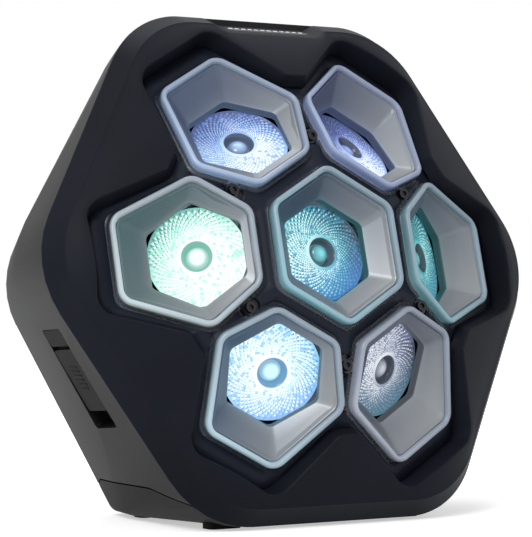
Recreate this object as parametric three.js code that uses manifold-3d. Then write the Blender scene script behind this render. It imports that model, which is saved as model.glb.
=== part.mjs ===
/*
 * LED party light: seven splayed lens cells behind a clear domed cover, in a hexagonal
 * housing that leans back on a flat base. Millimetres, +Z up, the light shines towards -Y.
 *
 * The "face" frame is used for everything that follows the leaning front: X to the right,
 * Y up along the face, Z out of the face, origin at the middle of the centre cell's rim.
 * The housing is drawn upright about the same origin, and the whole is then lifted onto its feet.
 */
import * as THREE from 'three';
import { mergeVertices } from 'three/addons/utils/BufferGeometryUtils.js';
import Module from 'manifold-3d';

const wasm = await Module();
wasm.setup();

// Face and bezel
const faceLean = THREE.MathUtils.degToRad(15);
const faceApothem = 111.8;
const faceSetback = 28;
const faceCornerRadius = 41;
const faceCrown = 14.5;
const crownPower = 1;
const faceEdgeChamfer = 1.2;
const bandDraft = 5.6;
const bandDepth = 9.5;
const bezelWall = 2.6;
const recessMargin = 11.5;
const recessHalf = 23.6;
const recessCornerRadius = 11;
const recessBevel = 4;
const webNotchMargin = 10.2;
const webNotchHalf = 5.4;
const webNotchRadius = 2.5;

// Seven cells: the centre one lies flat, the six round it tilt outwards
const cellRadius = 37.5;
const cellGap = 8.8;
const cellDrop = 2.25;
const cellCornerRadius = 8;
const rimTilt = THREE.MathUtils.degToRad(22.3);
const lensTilt = THREE.MathUtils.degToRad(35);
const innerHalfShare = 0.451;
const middleHalfShare = 0.924;
const outerHalfShare = 0.505;
const middleReachShare = 0.657;
const outerReachShare = 1.692;

// Clear cover with a raised rim round each window, and the dark chassis behind it
const rimWidth = 2.6;
const rimRound = 1.2;
const rimHeight = 5;
const coverSheet = 1.4;
const coverTuck = 2.4;
const chassisSheet = 1.6;
const postReach = 53;
const postRadius = 3.4;
const postBoreRadius = 1.5;
const bossRise = 1.4;

// Reflector wells
const apertureRadius = 24.1;
const apertureCornerRadius = 3.6;
const apertureDepth = 10.6;
const apertureReach = 63;
const apertureDrop = 19.6;
const apertureWall = 4;
const wellWall = 1.2;
const wellSetback = 2;

// Lenses and light sources
const lensRadius = 22;
const lensDepth = 17;
const lensFlange = 2.2;
const lensTailRadius = 9;
const lensPitRadius = 6.6;
const lensPitDepth = 6;
const lensDomeHeight = 2.5;
const lensPocketRadius = 4.6;
const lensPocketDepth = 3.6;
const boardRadius = 12;
const chipSize = 5;
const chipHeight = 1.8;
const circuitThickness = 1.6;

// Heat sink
const sinkPadRadius = 13;
const sinkPlateDepth = 52;
const sinkPlateThickness = 4;
const sinkPlateRadius = 62;
const finCount = 9;
const finThickness = 2.2;
const finDepth = 16;
const finPitch = 11;
const armWidth = 9;

// Housing: sections behind the seam, from the shoulder to the rear wall
const housingReach = 103;
const housingWall = 2.6;
const shoulderSetback = 28;
const shoulderApothem = 111.8;
const rearEdgeSetback = 7;
const rearEdgeApothem = 105;
const rearApothem = 97.5;
const rearLift = 3.8;
const seamCornerRadius = 44;
const shoulderCornerRadius = 42;
const rearCornerRadius = 36;
const baseCornerRadius = 7;
const columnReach = 90;
const columnRadius = 4.5;

// Cradle under the housing, and its pads
const cradleHeight = 16.5;
const cradleNose = 10;
const cradleRun = 30;
const cradleHeelRadius = 9;
const cradleEnd = 4;
const cradleGap = 0.7;
const cradleWall = 2.6;
const padLength = 16;
const padWidth = 9;
const padProud = 1.5;
const padSeat = 1.2;
const padSpread = 48;
const padFrontReach = 22;
const padRearReach = 82;

// Battery, rear controls
const batteryCellRadius = 10.6;
const batteryCellLength = 66;
const batteryCellCount = 4;
const batteryCapLength = 2;
const batteryWrap = 0.6;
const panelWidth = 86;
const panelHeight = 26;
const panelRise = 14;
const panelThickness = 2.4;
const panelCornerRadius = 6;
const panelLedge = 3;
const buttonRadius = 6.2;
const buttonPitch = 22;
const buttonTravel = 1;
const buttonProud = 1.2;
const buttonFlange = 1;
const switchSize = 6;
const switchHeight = 2;
const controlBoardWidth = 74;
const controlBoardHeight = 40;
const standoffRadius = 3;
const ventCount = 9;
const ventPitch = 9;
const ventWidth = 3;
const ventHeight = 22;
const ventDrop = 40;

// Port and its flap, on the lower left facet
const bayLength = 50;
const bayWidth = 22;
const bayDepth = 3.2;
const bayCornerRadius = 1.6;
const bayAlongShare = 0.43;
const bayAcross = 26;
const anchorLength = 8.5;
const grooveLength = 2;
const scoopLength = 8.5;
const scoopDepth = 6.2;
const plugDepth = 1.2;
const flapWeb = 0.8;
const portWidth = 9;
const portHeight = 3.3;
const portWall = 0.5;
const portLength = 7.4;
const portSetback = 1.6;
const portBoardLength = 20;
const portBoardWidth = 16;

// Plain strip in the notch on top of the bezel
const topNotchHalf = 24;
const topNotchEndRun = 9;
const topNotchFrontDrop = 3.6;
const topNotchRearDrop = 2.8;
const topNotchWall = 3;
const stripHalf = 23;
const stripHeight = 8;
const stripThickness = 1.6;

// Screws
const screwHeadRadius = 2.6;
const screwHeadHeight = 1.8;
const screwShankRadius = 1.2;
const screwLength = 9;

// Running clearances
const seatGap = 0.3;
const slideGap = 0.4;
const overrun = 5;

const cellSteps = 2;
const cornerSteps = 6;
const smallSteps = 2;
const roundSides = 24;
const lensSides = 16;
const smallSides = 10;
const screwSides = 8;
const sector = Math.PI / 3;
const halfSector = sector / 2;

const finish = {
  bezel: material(0x2b2e33, 0.55, 0),
  shell: material(0x1d1e20, 0.5, 0),
  cradle: material(0x1a1b1d, 0.6, 0),
  clear: material(0xcfe2f5, 0.08, 0),
  chassis: material(0x0c111c, 0.35, 0),
  reflector: material(0xa7abb3, 0.35, 0.6),
  lens: material(0xe6f3fb, 0.05, 0),
  board: material(0xe8e8e2, 0.5, 0),
  metal: material(0xb8bcc0, 0.35, 1),
  circuit: material(0x12402a, 0.5, 0),
  rubber: material(0x141517, 0.8, 0),
  battery: material(0x2a4f8f, 0.45, 0),
  strip: material(0x0a0b0d, 0.3, 0),
};

function material(color, roughness, metalness) {
  return new THREE.MeshStandardMaterial({ color, roughness, metalness });
}

function named(name, geometry, look, parent) {
  const mesh = new THREE.Mesh(geometry, look);
  mesh.name = name;
  parent.add(mesh);
  return mesh;
}

// Outlines: closed loops of corners { x, y, radius }, counter-clockwise

function side(from, to) {
  const length = Math.hypot(to.x - from.x, to.y - from.y);
  return { x: (to.x - from.x) / length, y: (to.y - from.y) / length, length };
}

function insetOutline(corners, inset) {
  return corners.map((corner, i) => {
    const before = side(corners.at(i - 1), corner);
    const after = side(corner, corners[(i + 1) % corners.length]);
    const cosTurn = before.x * after.x + before.y * after.y;
    const sinTurn = before.x * after.y - before.y * after.x;
    const shift = inset / (1 + cosTurn);
    return {
      x: corner.x - (before.y + after.y) * shift,
      y: corner.y + (before.x + after.x) * shift,
      radius: Math.max(corner.radius - Math.sign(sinTurn) * inset, wellWall),
    };
  });
}

function roundOutline(corners, steps) {
  const points = [];
  corners.forEach((corner, i) => {
    const before = side(corners.at(i - 1), corner);
    const after = side(corner, corners[(i + 1) % corners.length]);
    const turn = Math.atan2(
      before.x * after.y - before.y * after.x,
      before.x * after.x + before.y * after.y,
    );
    const room = Math.min(before.length, after.length) / 2;
    const run = Math.min(corner.radius * Math.tan(Math.abs(turn) / 2), room);
    const radius = run / Math.tan(Math.abs(turn) / 2);
    const spin = Math.sign(turn);
    const hub = {
      x: corner.x - before.x * run - before.y * radius * spin,
      y: corner.y - before.y * run + before.x * radius * spin,
    };
    const start = Math.atan2(-before.x * spin, before.y * spin);
    for (let step = 0; step <= steps; step += 1) {
      const angle = start + turn * step / steps;
      points.push(new THREE.Vector2(
        hub.x + radius * Math.cos(angle),
        hub.y + radius * Math.sin(angle),
      ));
    }
  });
  return points;
}

function hexagon(radius, cornerRadius, turn = -halfSector) {
  return Array.from({ length: 6 }, (_, i) => ({
    x: radius * Math.cos(turn + i * sector),
    y: radius * Math.sin(turn + i * sector),
    radius: cornerRadius,
  }));
}

function rectangle(width, height, radius) {
  const x = width / 2;
  const y = height / 2;
  return [
    { x, y: -y, radius },
    { x, y, radius },
    { x: -x, y, radius },
    { x: -x, y: -y, radius },
  ];
}

// Solids from lofted rings of equal length

function closedBody(points, triangles) {
  const ends = triangles.map(([a, b, c]) => points[a].dot(points[b].clone().cross(points[c])));
  const flip = ends.reduce((sum, value) => sum + value, 0) < 0;
  const geometry = new THREE.BufferGeometry();
  geometry.setAttribute('position', new THREE.Float32BufferAttribute(
    points.flatMap((point) => [point.x, point.y, point.z]), 3,
  ));
  geometry.setIndex(triangles.flatMap(([a, b, c]) => (flip ? [a, c, b] : [a, b, c])));
  return geometry;
}

function loft(rings, closed = false) {
  const count = rings[0].length;
  const points = rings.flat();
  const triangles = [];
  const spans = closed ? rings.length : rings.length - 1;
  for (let ring = 0; ring < spans; ring += 1) {
    const low = ring * count;
    const high = ((ring + 1) % rings.length) * count;
    for (let i = 0; i < count; i += 1) {
      const next = (i + 1) % count;
      triangles.push([low + i, low + next, high + next], [low + i, high + next, high + i]);
    }
  }
  if (!closed) {
    const last = (rings.length - 1) * count;
    const middles = [rings[0], rings.at(-1)].map((ring) => (
      ring.reduce((sum, point) => sum.add(point), new THREE.Vector3()).divideScalar(count)
    ));
    points.push(...middles);
    for (let i = 0; i < count; i += 1) {
      const next = (i + 1) % count;
      triangles.push([points.length - 2, next, i]);
      triangles.push([points.length - 1, last + i, last + next]);
    }
  }
  return closedBody(points, triangles);
}

function prism(outline, low, high) {
  return loft([low, high].map((z) => outline.map((point) => new THREE.Vector3(point.x, point.y, z))));
}

function slab(width, depth, height, x, y, z) {
  return new THREE.BoxGeometry(width, depth, height).translate(x, y, z);
}

// A cylinder along Y, as used for everything that goes in through the rear wall
function rodY(radius, from, to, x, z, sides = smallSides) {
  return new THREE.CylinderGeometry(radius, radius, to - from, sides)
    .translate(x, (from + to) / 2, z);
}

// A cylinder along the face normal
function rodZ(radius, from, to, x, y, sides = smallSides) {
  return new THREE.CylinderGeometry(radius, radius, to - from, sides)
    .rotateX(Math.PI / 2)
    .translate(x, y, (from + to) / 2);
}

function revolve(profile, sides) {
  const points = profile.map(([radius, height]) => new THREE.Vector2(radius, height));
  return new THREE.LatheGeometry(points, sides).rotateX(Math.PI / 2);
}

// Booleans

function solid(geometry) {
  const bare = geometry.clone();
  bare.deleteAttribute('normal');
  bare.deleteAttribute('uv');
  const merged = mergeVertices(bare);
  return new wasm.Manifold(new wasm.Mesh({
    numProp: 3,
    vertProperties: new Float32Array(merged.attributes.position.array),
    triVerts: new Uint32Array(merged.index.array),
  }));
}

function add(base, ...parts) {
  return parts.reduce((sum, part) => sum.add(part), base);
}

function cut(base, ...parts) {
  return parts.reduce((rest, part) => rest.subtract(part), base);
}

function bodyOf(manifold) {
  const mesh = manifold.getMesh();
  const geometry = new THREE.BufferGeometry();
  geometry.setAttribute('position', new THREE.BufferAttribute(new Float32Array(mesh.vertProperties), 3));
  geometry.setIndex(new THREE.BufferAttribute(new Uint32Array(mesh.triVerts), 1));
  return geometry;
}

// Frames
const leanTurn = new THREE.Matrix4().makeRotationX(Math.PI / 2 - faceLean);
const leanBack = leanTurn.clone().invert();
const seamLevel = -(faceSetback + bandDepth);
const seamApothem = faceApothem + bandDraft;
const seamFloor = new THREE.Vector3(0, -seamApothem, seamLevel).applyMatrix4(leanTurn).z;

function upright(x, y, z) {
  return new THREE.Vector3(x, y, z).applyMatrix4(leanTurn);
}

// A point of a cell: u outwards and v sideways in a plane that tilts by `tilt`, sunk by depth
function tiltedPoint(plane, point, depth) {
  const { origin, tilt } = plane;
  return new THREE.Vector3(
    origin.x + point.x * Math.cos(tilt) - depth * Math.sin(tilt),
    point.y,
    origin.z - point.x * Math.sin(tilt) - depth * Math.cos(tilt),
  );
}

// Cells
const innerReach = cellRadius * Math.cos(halfSector) + cellGap;
const outerRim = [
  [outerReachShare, -outerHalfShare],
  [outerReachShare, outerHalfShare],
  [middleReachShare, middleHalfShare],
  [0, innerHalfShare],
  [0, -innerHalfShare],
  [middleReachShare, -middleHalfShare],
].map(([u, v]) => ({ x: u * cellRadius, y: v * cellRadius, radius: cellCornerRadius }));

const centreCell = {
  rim: { origin: new THREE.Vector3(), tilt: 0, corners: hexagon(cellRadius, cellCornerRadius) },
  aperture: { origin: new THREE.Vector3(0, 0, -apertureDepth), tilt: 0 },
};
const outerCell = {
  rim: { origin: new THREE.Vector3(innerReach, 0, -cellDrop), tilt: rimTilt, corners: outerRim },
  aperture: { origin: new THREE.Vector3(apertureReach, 0, -apertureDrop), tilt: lensTilt },
};
const cells = [
  { name: 'center', cell: centreCell, turn: 0 },
  ...['right', 'upper_right', 'upper_left', 'left', 'lower_left', 'lower_right'].map((name, i) => (
    { name, cell: outerCell, turn: i * sector }
  )),
];

function rimRing(cell, inset, depth) {
  const outline = roundOutline(insetOutline(cell.rim.corners, inset), cellSteps);
  return outline.map((point) => tiltedPoint(cell.rim, point, depth));
}

function apertureRing(cell, radius, depth) {
  const outline = roundOutline(hexagon(radius, apertureCornerRadius), cellSteps);
  return outline.map((point) => tiltedPoint(cell.aperture, point, depth));
}

function wellGeometry(cell) {
  const mouth = rimWidth + seatGap;
  const outside = apertureRadius + wellWall / Math.cos(halfSector);
  return loft([
    rimRing(cell, mouth, wellSetback),
    rimRing(cell, mouth + wellWall, wellSetback),
    apertureRing(cell, apertureRadius, 0),
    apertureRing(cell, apertureRadius, apertureWall - seatGap),
    apertureRing(cell, outside, apertureWall - seatGap),
    apertureRing(cell, outside, wellWall),
  ], true);
}

function rimBody(cell) {
  return solid(loft([
    rimRing(cell, rimRound, 0),
    rimRing(cell, 0, rimRound),
    rimRing(cell, 0, rimHeight + coverSheet / 2),
  ]));
}

function windowCut(cell, inset, depth) {
  return solid(loft([
    rimRing(cell, inset - rimRound, -overrun),
    rimRing(cell, inset - rimRound, 0),
    rimRing(cell, inset, rimRound),
    rimRing(cell, inset, depth),
  ]));
}

function aboutAxis(make) {
  return cells.map(({ cell, turn }) => (
    make(cell).rotate([0, 0, THREE.MathUtils.radToDeg(turn)])
  ));
}

// The domed surface through the cells' rims: flat in the middle, six planes falling away outside
function domeHeight(reach) {
  const flat = cellRadius * Math.cos(halfSector);
  if (reach <= flat) return 0;
  if (reach <= innerReach) return -cellDrop * (reach - flat) / cellGap;
  return -cellDrop - (reach - innerReach) * Math.tan(rimTilt);
}

function domeHeightAt(point) {
  const turn = Math.round(Math.atan2(point.y, point.x) / sector) * sector;
  return domeHeight(point.x * Math.cos(turn) + point.y * Math.sin(turn));
}

function domeSheet(outline, top, bottom) {
  const flat = cellRadius * Math.cos(halfSector);
  const far = faceApothem + overrun;
  const ring = (reach, drop) => hexagon(reach / Math.cos(halfSector), 0).map((corner) => (
    new THREE.Vector3(corner.x, corner.y, domeHeight(reach) - drop)
  ));
  const sheet = loft([
    ring(flat, top), ring(innerReach, top), ring(far, top),
    ring(far, bottom), ring(innerReach, bottom), ring(flat, bottom),
  ]);
  return solid(sheet).intersect(solid(prism(outline, seamLevel - faceApothem, overrun)));
}

// The opening in the bezel follows the six outer cells, with a notch between each two
const rimEnd = innerReach + outerReachShare * cellRadius * Math.cos(rimTilt);
const middleReach = innerReach + middleReachShare * cellRadius * Math.cos(rimTilt);
const webNotchReach = Math.hypot(middleReach, middleHalfShare * cellRadius) + webNotchMargin;
const recessReach = rimEnd + recessMargin;

function turned(x, y, turn, radius) {
  return {
    x: x * Math.cos(turn) - y * Math.sin(turn),
    y: x * Math.sin(turn) + y * Math.cos(turn),
    radius,
  };
}

const recessCorners = Array.from({ length: 6 }, (_, i) => [
  turned(recessReach, -recessHalf, i * sector, recessCornerRadius),
  turned(recessReach, recessHalf, i * sector, recessCornerRadius),
  turned(webNotchReach, -webNotchHalf, (i + 0.5) * sector, webNotchRadius),
  turned(webNotchReach, webNotchHalf, (i + 0.5) * sector, webNotchRadius),
]).flat();

function recessOutline(inset) {
  return roundOutline(insetOutline(recessCorners, inset), cellSteps);
}

// How far a rounded hexagon reaches in the direction of a point
function hexagonReach(point, apothem, cornerRadius) {
  const angle = Math.atan2(point.y, point.x);
  const fromCorner = Math.abs(angle - Math.round(angle / sector) * sector);
  const hub = (apothem - cornerRadius) / Math.cos(halfSector);
  const tangent = Math.atan2(
    hub * Math.sin(halfSector),
    apothem,
  );
  if (halfSector - fromCorner <= tangent) return apothem / Math.cos(halfSector - fromCorner);
  const across = hub * Math.sin(fromCorner);
  return hub * Math.cos(fromCorner) + Math.sqrt(cornerRadius ** 2 - across ** 2);
}

function bezelRing(apothem, cornerRadius, level, directions) {
  return directions.map((point) => {
    const scale = hexagonReach(point, apothem, cornerRadius) / point.length();
    return new THREE.Vector3(point.x * scale, point.y * scale, level);
  });
}

function faceLevel(point) {
  const inside = hexagonReach(point, faceApothem, faceCornerRadius) - Math.hypot(point.x, point.y);
  return -faceSetback + faceCrown * Math.min(inside / (faceApothem - webNotchReach), 1) ** crownPower;
}

// Each straight side of the opening is divided so that the bezel can curve along it
const recessDivisions = [6, 2, 2, 2];

function bezelStations() {
  return recessOutline(0).flatMap((point, i) => {
    const corner = Math.floor(i / (cellSteps + 1));
    const straight = i % (cellSteps + 1) === cellSteps;
    const parts = straight ? recessDivisions[corner % recessDivisions.length] : 1;
    return Array.from({ length: parts }, (_, part) => ({ i, share: part / parts }));
  });
}

function stationPoints(outline, stations) {
  return stations.map(({ i, share }) => outline[i].clone().lerp(outline[(i + 1) % outline.length], share));
}

function bezelBody() {
  const stations = bezelStations();
  const ring = (inset, level) => stationPoints(recessOutline(inset), stations).map((point) => (
    new THREE.Vector3(point.x, point.y, level(point))
  ));
  const directions = stationPoints(recessOutline(0), stations);
  const onCover = (point) => domeHeightAt(point) - coverTop + seatGap;
  const innerRadius = seamCornerRadius - bezelWall;
  const frame = solid(loft([
    bezelRing(seamApothem, seamCornerRadius, seamLevel, directions),
    bezelRing(faceApothem, faceCornerRadius, -faceSetback - faceEdgeChamfer, directions),
    bezelRing(faceApothem - faceEdgeChamfer, faceCornerRadius - faceEdgeChamfer, -faceSetback, directions),
    ring(0, faceLevel),
    ring(recessBevel, onCover),
    ring(recessBevel - bezelWall, onCover),
    ring(-bezelWall, (point) => faceLevel(point) - bezelWall),
    bezelRing(seamApothem - bezelWall - bandDraft, innerRadius, -faceSetback - bezelWall, directions),
    bezelRing(seamApothem - bezelWall, innerRadius, seamLevel, directions),
  ], true));
  const bosses = columnAngles.map((angle) => {
    const spot = new THREE.Vector2(Math.cos(angle), Math.sin(angle)).multiplyScalar(columnReach);
    return solid(rodZ(columnRadius, seamLevel, faceLevel(spot) - bezelWall / 2, spot.x, spot.y));
  });
  const backing = topNotchWedge(topNotchWall).intersect(bezelEnvelope(directions));
  return cut(add(frame, ...bosses, backing), topNotchWedge(0), stripPocket(seatGap));
}

function bezelEnvelope(directions) {
  return solid(loft([
    bezelRing(seamApothem, seamCornerRadius, seamLevel, directions),
    bezelRing(faceApothem, faceCornerRadius, -faceSetback - faceEdgeChamfer, directions),
    bezelRing(faceApothem - faceEdgeChamfer, faceCornerRadius - faceEdgeChamfer, -faceSetback, directions),
  ]));
}

// The notch on top is a slope between the lowered front edge and the top of the seam
const notchFront = { y: faceApothem - topNotchFrontDrop, z: -faceSetback };
const notchRear = { y: seamApothem - topNotchRearDrop, z: seamLevel };
const notchPitch = Math.atan2(notchRear.y - notchFront.y, notchFront.z - notchRear.z);

function topNotchWedge(wall) {
  const along = (share, lift) => ({
    y: notchFront.y + (notchRear.y - notchFront.y) * share + lift * Math.cos(notchPitch),
    z: notchFront.z + (notchRear.z - notchFront.z) * share + lift * Math.sin(notchPitch),
  });
  const reach = overrun / (notchFront.z - notchRear.z);
  const frontSpan = topNotchFrontDrop * 3;
  const slice = (share) => {
    const low = along(share, -wall);
    const high = along(share, frontSpan);
    const lowHalf = topNotchHalf + wall;
    const highHalf = lowHalf + topNotchEndRun * (frontSpan + wall) / topNotchFrontDrop;
    return [
      new THREE.Vector3(lowHalf, low.y, low.z),
      new THREE.Vector3(highHalf, high.y, high.z),
      new THREE.Vector3(-highHalf, high.y, high.z),
      new THREE.Vector3(-lowHalf, low.y, low.z),
    ];
  };
  return solid(loft([slice(-3 * reach), slice(1 + reach)]));
}

function stripPlace(geometry, lift) {
  return geometry
    .translate(0, 0, lift)
    .rotateX(-Math.PI / 2 + notchPitch)
    .translate(0, (notchFront.y + notchRear.y) / 2, (notchFront.z + notchRear.z) / 2);
}

function stripBody(grow, low, high) {
  const ends = rectangle(stripHalf * 2 + grow * 2, stripHeight + grow * 2, stripHeight / 2 + grow);
  return prism(roundOutline(ends, cellSteps), low, high);
}

function stripPocket(gap) {
  return solid(stripPlace(stripBody(gap, -stripThickness - gap, overrun), 0));
}

// Levels of the layers behind the face, measured down the face normal
const planeRise = 1 / Math.cos(rimTilt);
const coverTop = rimHeight * planeRise;
const coverBottom = coverTop + coverSheet * planeRise;
const chassisTop = coverBottom + seatGap * planeRise;
const chassisBottom = chassisTop + chassisSheet * planeRise;
const columnAngles = [0.5, 2.5, 3.5, 5.5].map((step) => step * sector);
const postAngles = Array.from({ length: 6 }, (_, i) => (i + 0.5) * sector);

function posts() {
  return postAngles.map((angle) => {
    const x = postReach * Math.cos(angle);
    const y = postReach * Math.sin(angle);
    return { x, y, level: domeHeight(postReach * Math.cos(halfSector)) - chassisTop };
  });
}

function coverBody() {
  const sheet = domeSheet(recessOutline(recessBevel - coverTuck), coverTop, coverBottom);
  const holes = posts().map(({ x, y }) => (
    solid(rodZ(postRadius + bossRise, seamLevel, overrun, x, y))
  ));
  const body = cut(sheet, ...holes);
  const rims = aboutAxis(rimBody);
  const windows = aboutAxis((cell) => windowCut(cell, rimWidth, rimHeight + coverSheet + overrun));
  return cut(add(body, ...rims), ...windows);
}

function chassisBody() {
  const sheet = domeSheet(recessOutline(recessBevel), chassisTop, chassisBottom);
  const windows = aboutAxis((cell) => windowCut(cell, rimWidth, rimHeight + coverSheet + 2 * overrun));
  const open = cut(sheet, ...windows);
  const legs = posts().map(({ x, y, level }) => (
    solid(rodZ(postRadius, seatGap - sinkPlateDepth, level + bossRise, x, y))
  ));
  const bores = posts().map(({ x, y, level }) => (
    solid(rodZ(postBoreRadius, level + bossRise - screwLength, level + bossRise + overrun, x, y, screwSides))
  ));
  return cut(add(open, ...legs), ...bores);
}

function lensGeometry() {
  const profile = [
    [0, -lensDepth + lensPocketDepth],
    [lensPocketRadius, -lensDepth + lensPocketDepth],
    [lensPocketRadius, -lensDepth],
    [lensTailRadius, -lensDepth],
    [(lensTailRadius + lensRadius * 2) / 3, (-lensDepth * 2 - lensFlange) / 3],
    [lensRadius - lensFlange / 2, -lensFlange],
    [lensRadius, -lensFlange],
    [lensRadius, 0],
    [lensPitRadius, 0],
    [lensPitRadius * 0.8, -lensPitDepth],
    [lensPitRadius * 0.4, -lensPitDepth + lensDomeHeight * 0.8],
    [0, -lensPitDepth + lensDomeHeight],
  ];
  return revolve(profile, lensSides);
}

function boardGeometry() {
  const plate = solid(prism(hexagon(boardRadius, 0), -circuitThickness, 0));
  const chip = solid(slab(chipSize, chipSize, chipHeight * 2, 0, 0, 0));
  return bodyOf(plate.add(chip));
}

// Depth from the aperture to the underside of a light source's board
const lensTail = apertureWall + lensDepth;
const boardDepth = lensTail + seatGap;
const padDepth = boardDepth + circuitThickness + seatGap;

function sinkBody() {
  const plateTop = -sinkPlateDepth;
  const plateBottom = plateTop - sinkPlateThickness;
  const plate = solid(rodZ(sinkPlateRadius, plateBottom, plateTop, 0, 0, roundSides));
  const below = solid(slab(
    4 * sinkPlateRadius, 4 * sinkPlateRadius, 4 * sinkPlateDepth, 0, 0, plateBottom + 2 * sinkPlateDepth,
  ));
  const pads = aboutAxis((cell) => {
    const ring = (depth) => hexagon(sinkPadRadius, 0).map((corner) => (
      tiltedPoint(cell.aperture, corner, depth)
    ));
    return solid(loft([ring(padDepth), ring(padDepth + sinkPlateDepth)])).intersect(below);
  });
  const fins = Array.from({ length: finCount }, (_, i) => {
    const x = (i - (finCount - 1) / 2) * finPitch;
    const reach = Math.sqrt(Math.max(sinkPlateRadius ** 2 - (Math.abs(x) + finPitch) ** 2, 0));
    return solid(slab(
      finThickness, 2 * reach, finDepth + sinkPlateThickness, x, 0, plateTop - (finDepth + sinkPlateThickness) / 2,
    ));
  });
  // An arm runs out to each column of the housing and rings it
  const arms = columnSpots().map((spot) => {
    const column = spot.clone().applyMatrix4(leanBack);
    const drop = (seamLevel - plateTop + sinkPlateThickness / 2) * Math.tan(faceLean);
    const end = new THREE.Vector2(column.x, column.y + drop);
    const arm = slab(end.length(), armWidth, sinkPlateThickness, end.length() / 2, 0, 0)
      .rotateZ(end.angle())
      .translate(0, 0, plateTop - sinkPlateThickness / 2);
    const eye = rodZ(columnRadius + armWidth / 2, plateBottom, plateTop, end.x, end.y);
    return solid(arm).add(solid(eye));
  });
  const columns = columnSpots().map(({ x, z }) => (
    solid(rodY(columnRadius + seatGap, 0, housingReach, x, z).applyMatrix4(leanBack))
  ));
  return cut(add(plate, ...pads, ...fins, ...arms), ...columns);
}

function screwBody() {
  const head = solid(rodZ(screwHeadRadius, seatGap, screwHeadHeight, 0, 0, screwSides));
  const drive = solid(prism(hexagon(screwHeadRadius / 2, 0), screwHeadHeight / 2, screwHeadHeight + overrun));
  const shank = solid(rodZ(
    screwShankRadius, screwHeadHeight / 2 - screwLength, screwHeadHeight / 2, 0, 0, screwSides / 2,
  ));
  return cut(head, drive).add(shank);
}

// Housing sections: a rounded hexagon standing on the floor line, tighter at its two lower corners
const floorLine = seamFloor;

function housingSection(reach, apothem, lift, cornerRadius, footRadius, inset) {
  const centre = floorLine + lift + apothem;
  const corners = hexagon(apothem / Math.cos(halfSector), cornerRadius, 0).map((corner, i) => (
    { ...corner, radius: i >= 4 ? footRadius : cornerRadius }
  ));
  const outline = roundOutline(insetOutline(corners, inset), cornerSteps);
  return outline.map((point) => new THREE.Vector3(point.x, reach, centre + point.y));
}

function seamSection(level, inset) {
  const corners = hexagon(seamApothem / Math.cos(halfSector), seamCornerRadius, 0);
  const outline = roundOutline(insetOutline(corners, inset), cornerSteps);
  return outline.map((point) => upright(point.x, point.y, level));
}

const shoulderReach = housingReach - shoulderSetback;
const rearEdgeReach = housingReach - rearEdgeSetback;

function housingVolume(inset, front) {
  return solid(loft([
    seamSection(front, inset),
    housingSection(shoulderReach, shoulderApothem, 0, shoulderCornerRadius, baseCornerRadius, inset),
    housingSection(rearEdgeReach, rearEdgeApothem, 0, rearCornerRadius, baseCornerRadius, inset),
    housingSection(housingReach - inset, rearApothem, rearLift, rearCornerRadius, baseCornerRadius, inset),
  ]));
}

// The space of the cradle: below a line that rises behind the seam and drops at the heel
function cradleSpace(grow) {
  const nose = floorLine + cradleNose + grow;
  const top = floorLine + cradleHeight + grow;
  const seamY = upright(0, -seamApothem, seamLevel).y;
  const heel = housingReach - cradleEnd + grow;
  const deep = floorLine - cradleHeight;
  const corners = [
    { x: seamY - cradleRun, y: deep, radius: 0 },
    { x: heel, y: deep, radius: 0 },
    { x: heel, y: top, radius: cradleHeelRadius },
    { x: seamY + cradleRun, y: top, radius: cradleRun / 2 },
    { x: seamY, y: nose, radius: cradleRun / 2 },
    { x: seamY - cradleRun, y: nose, radius: 0 },
  ];
  const outline = roundOutline(corners, smallSteps);
  const half = faceApothem * 2;
  return solid(loft([-half, half].map((x) => (
    outline.map((point) => new THREE.Vector3(x, point.x, point.y))
  ))));
}

const panelCentre = panelRise;
const panelBack = housingReach - panelThickness - seatGap;
const ledgeBack = panelBack - housingWall;

function panelSolid(grow, from, to) {
  const outline = roundOutline(
    rectangle(panelWidth + 2 * grow, panelHeight + 2 * grow, panelCornerRadius + grow), cellSteps,
  );
  return solid(prism(outline, -to, -from).rotateX(Math.PI / 2).translate(0, 0, panelCentre));
}

function columnSpots() {
  return columnAngles.map((angle) => (
    upright(columnReach * Math.cos(angle), columnReach * Math.sin(angle), seamLevel)
  ));
}

function standoffSpots() {
  const x = controlBoardWidth / 2 - standoffRadius;
  const z = controlBoardHeight / 2 - standoffRadius;
  return [-x, x].flatMap((side) => [-z, z].map((rise) => ({ x: side, z: panelCentre + rise })));
}

function vents() {
  return Array.from({ length: ventCount }, (_, i) => {
    const x = (i - (ventCount - 1) / 2) * ventPitch;
    const outline = roundOutline(rectangle(ventWidth, ventHeight, ventWidth / 2), smallSteps);
    const body = prism(outline, -housingReach - overrun, -housingReach + housingWall + overrun);
    return solid(body.rotateX(Math.PI / 2).translate(x, 0, -ventDrop));
  });
}

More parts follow.
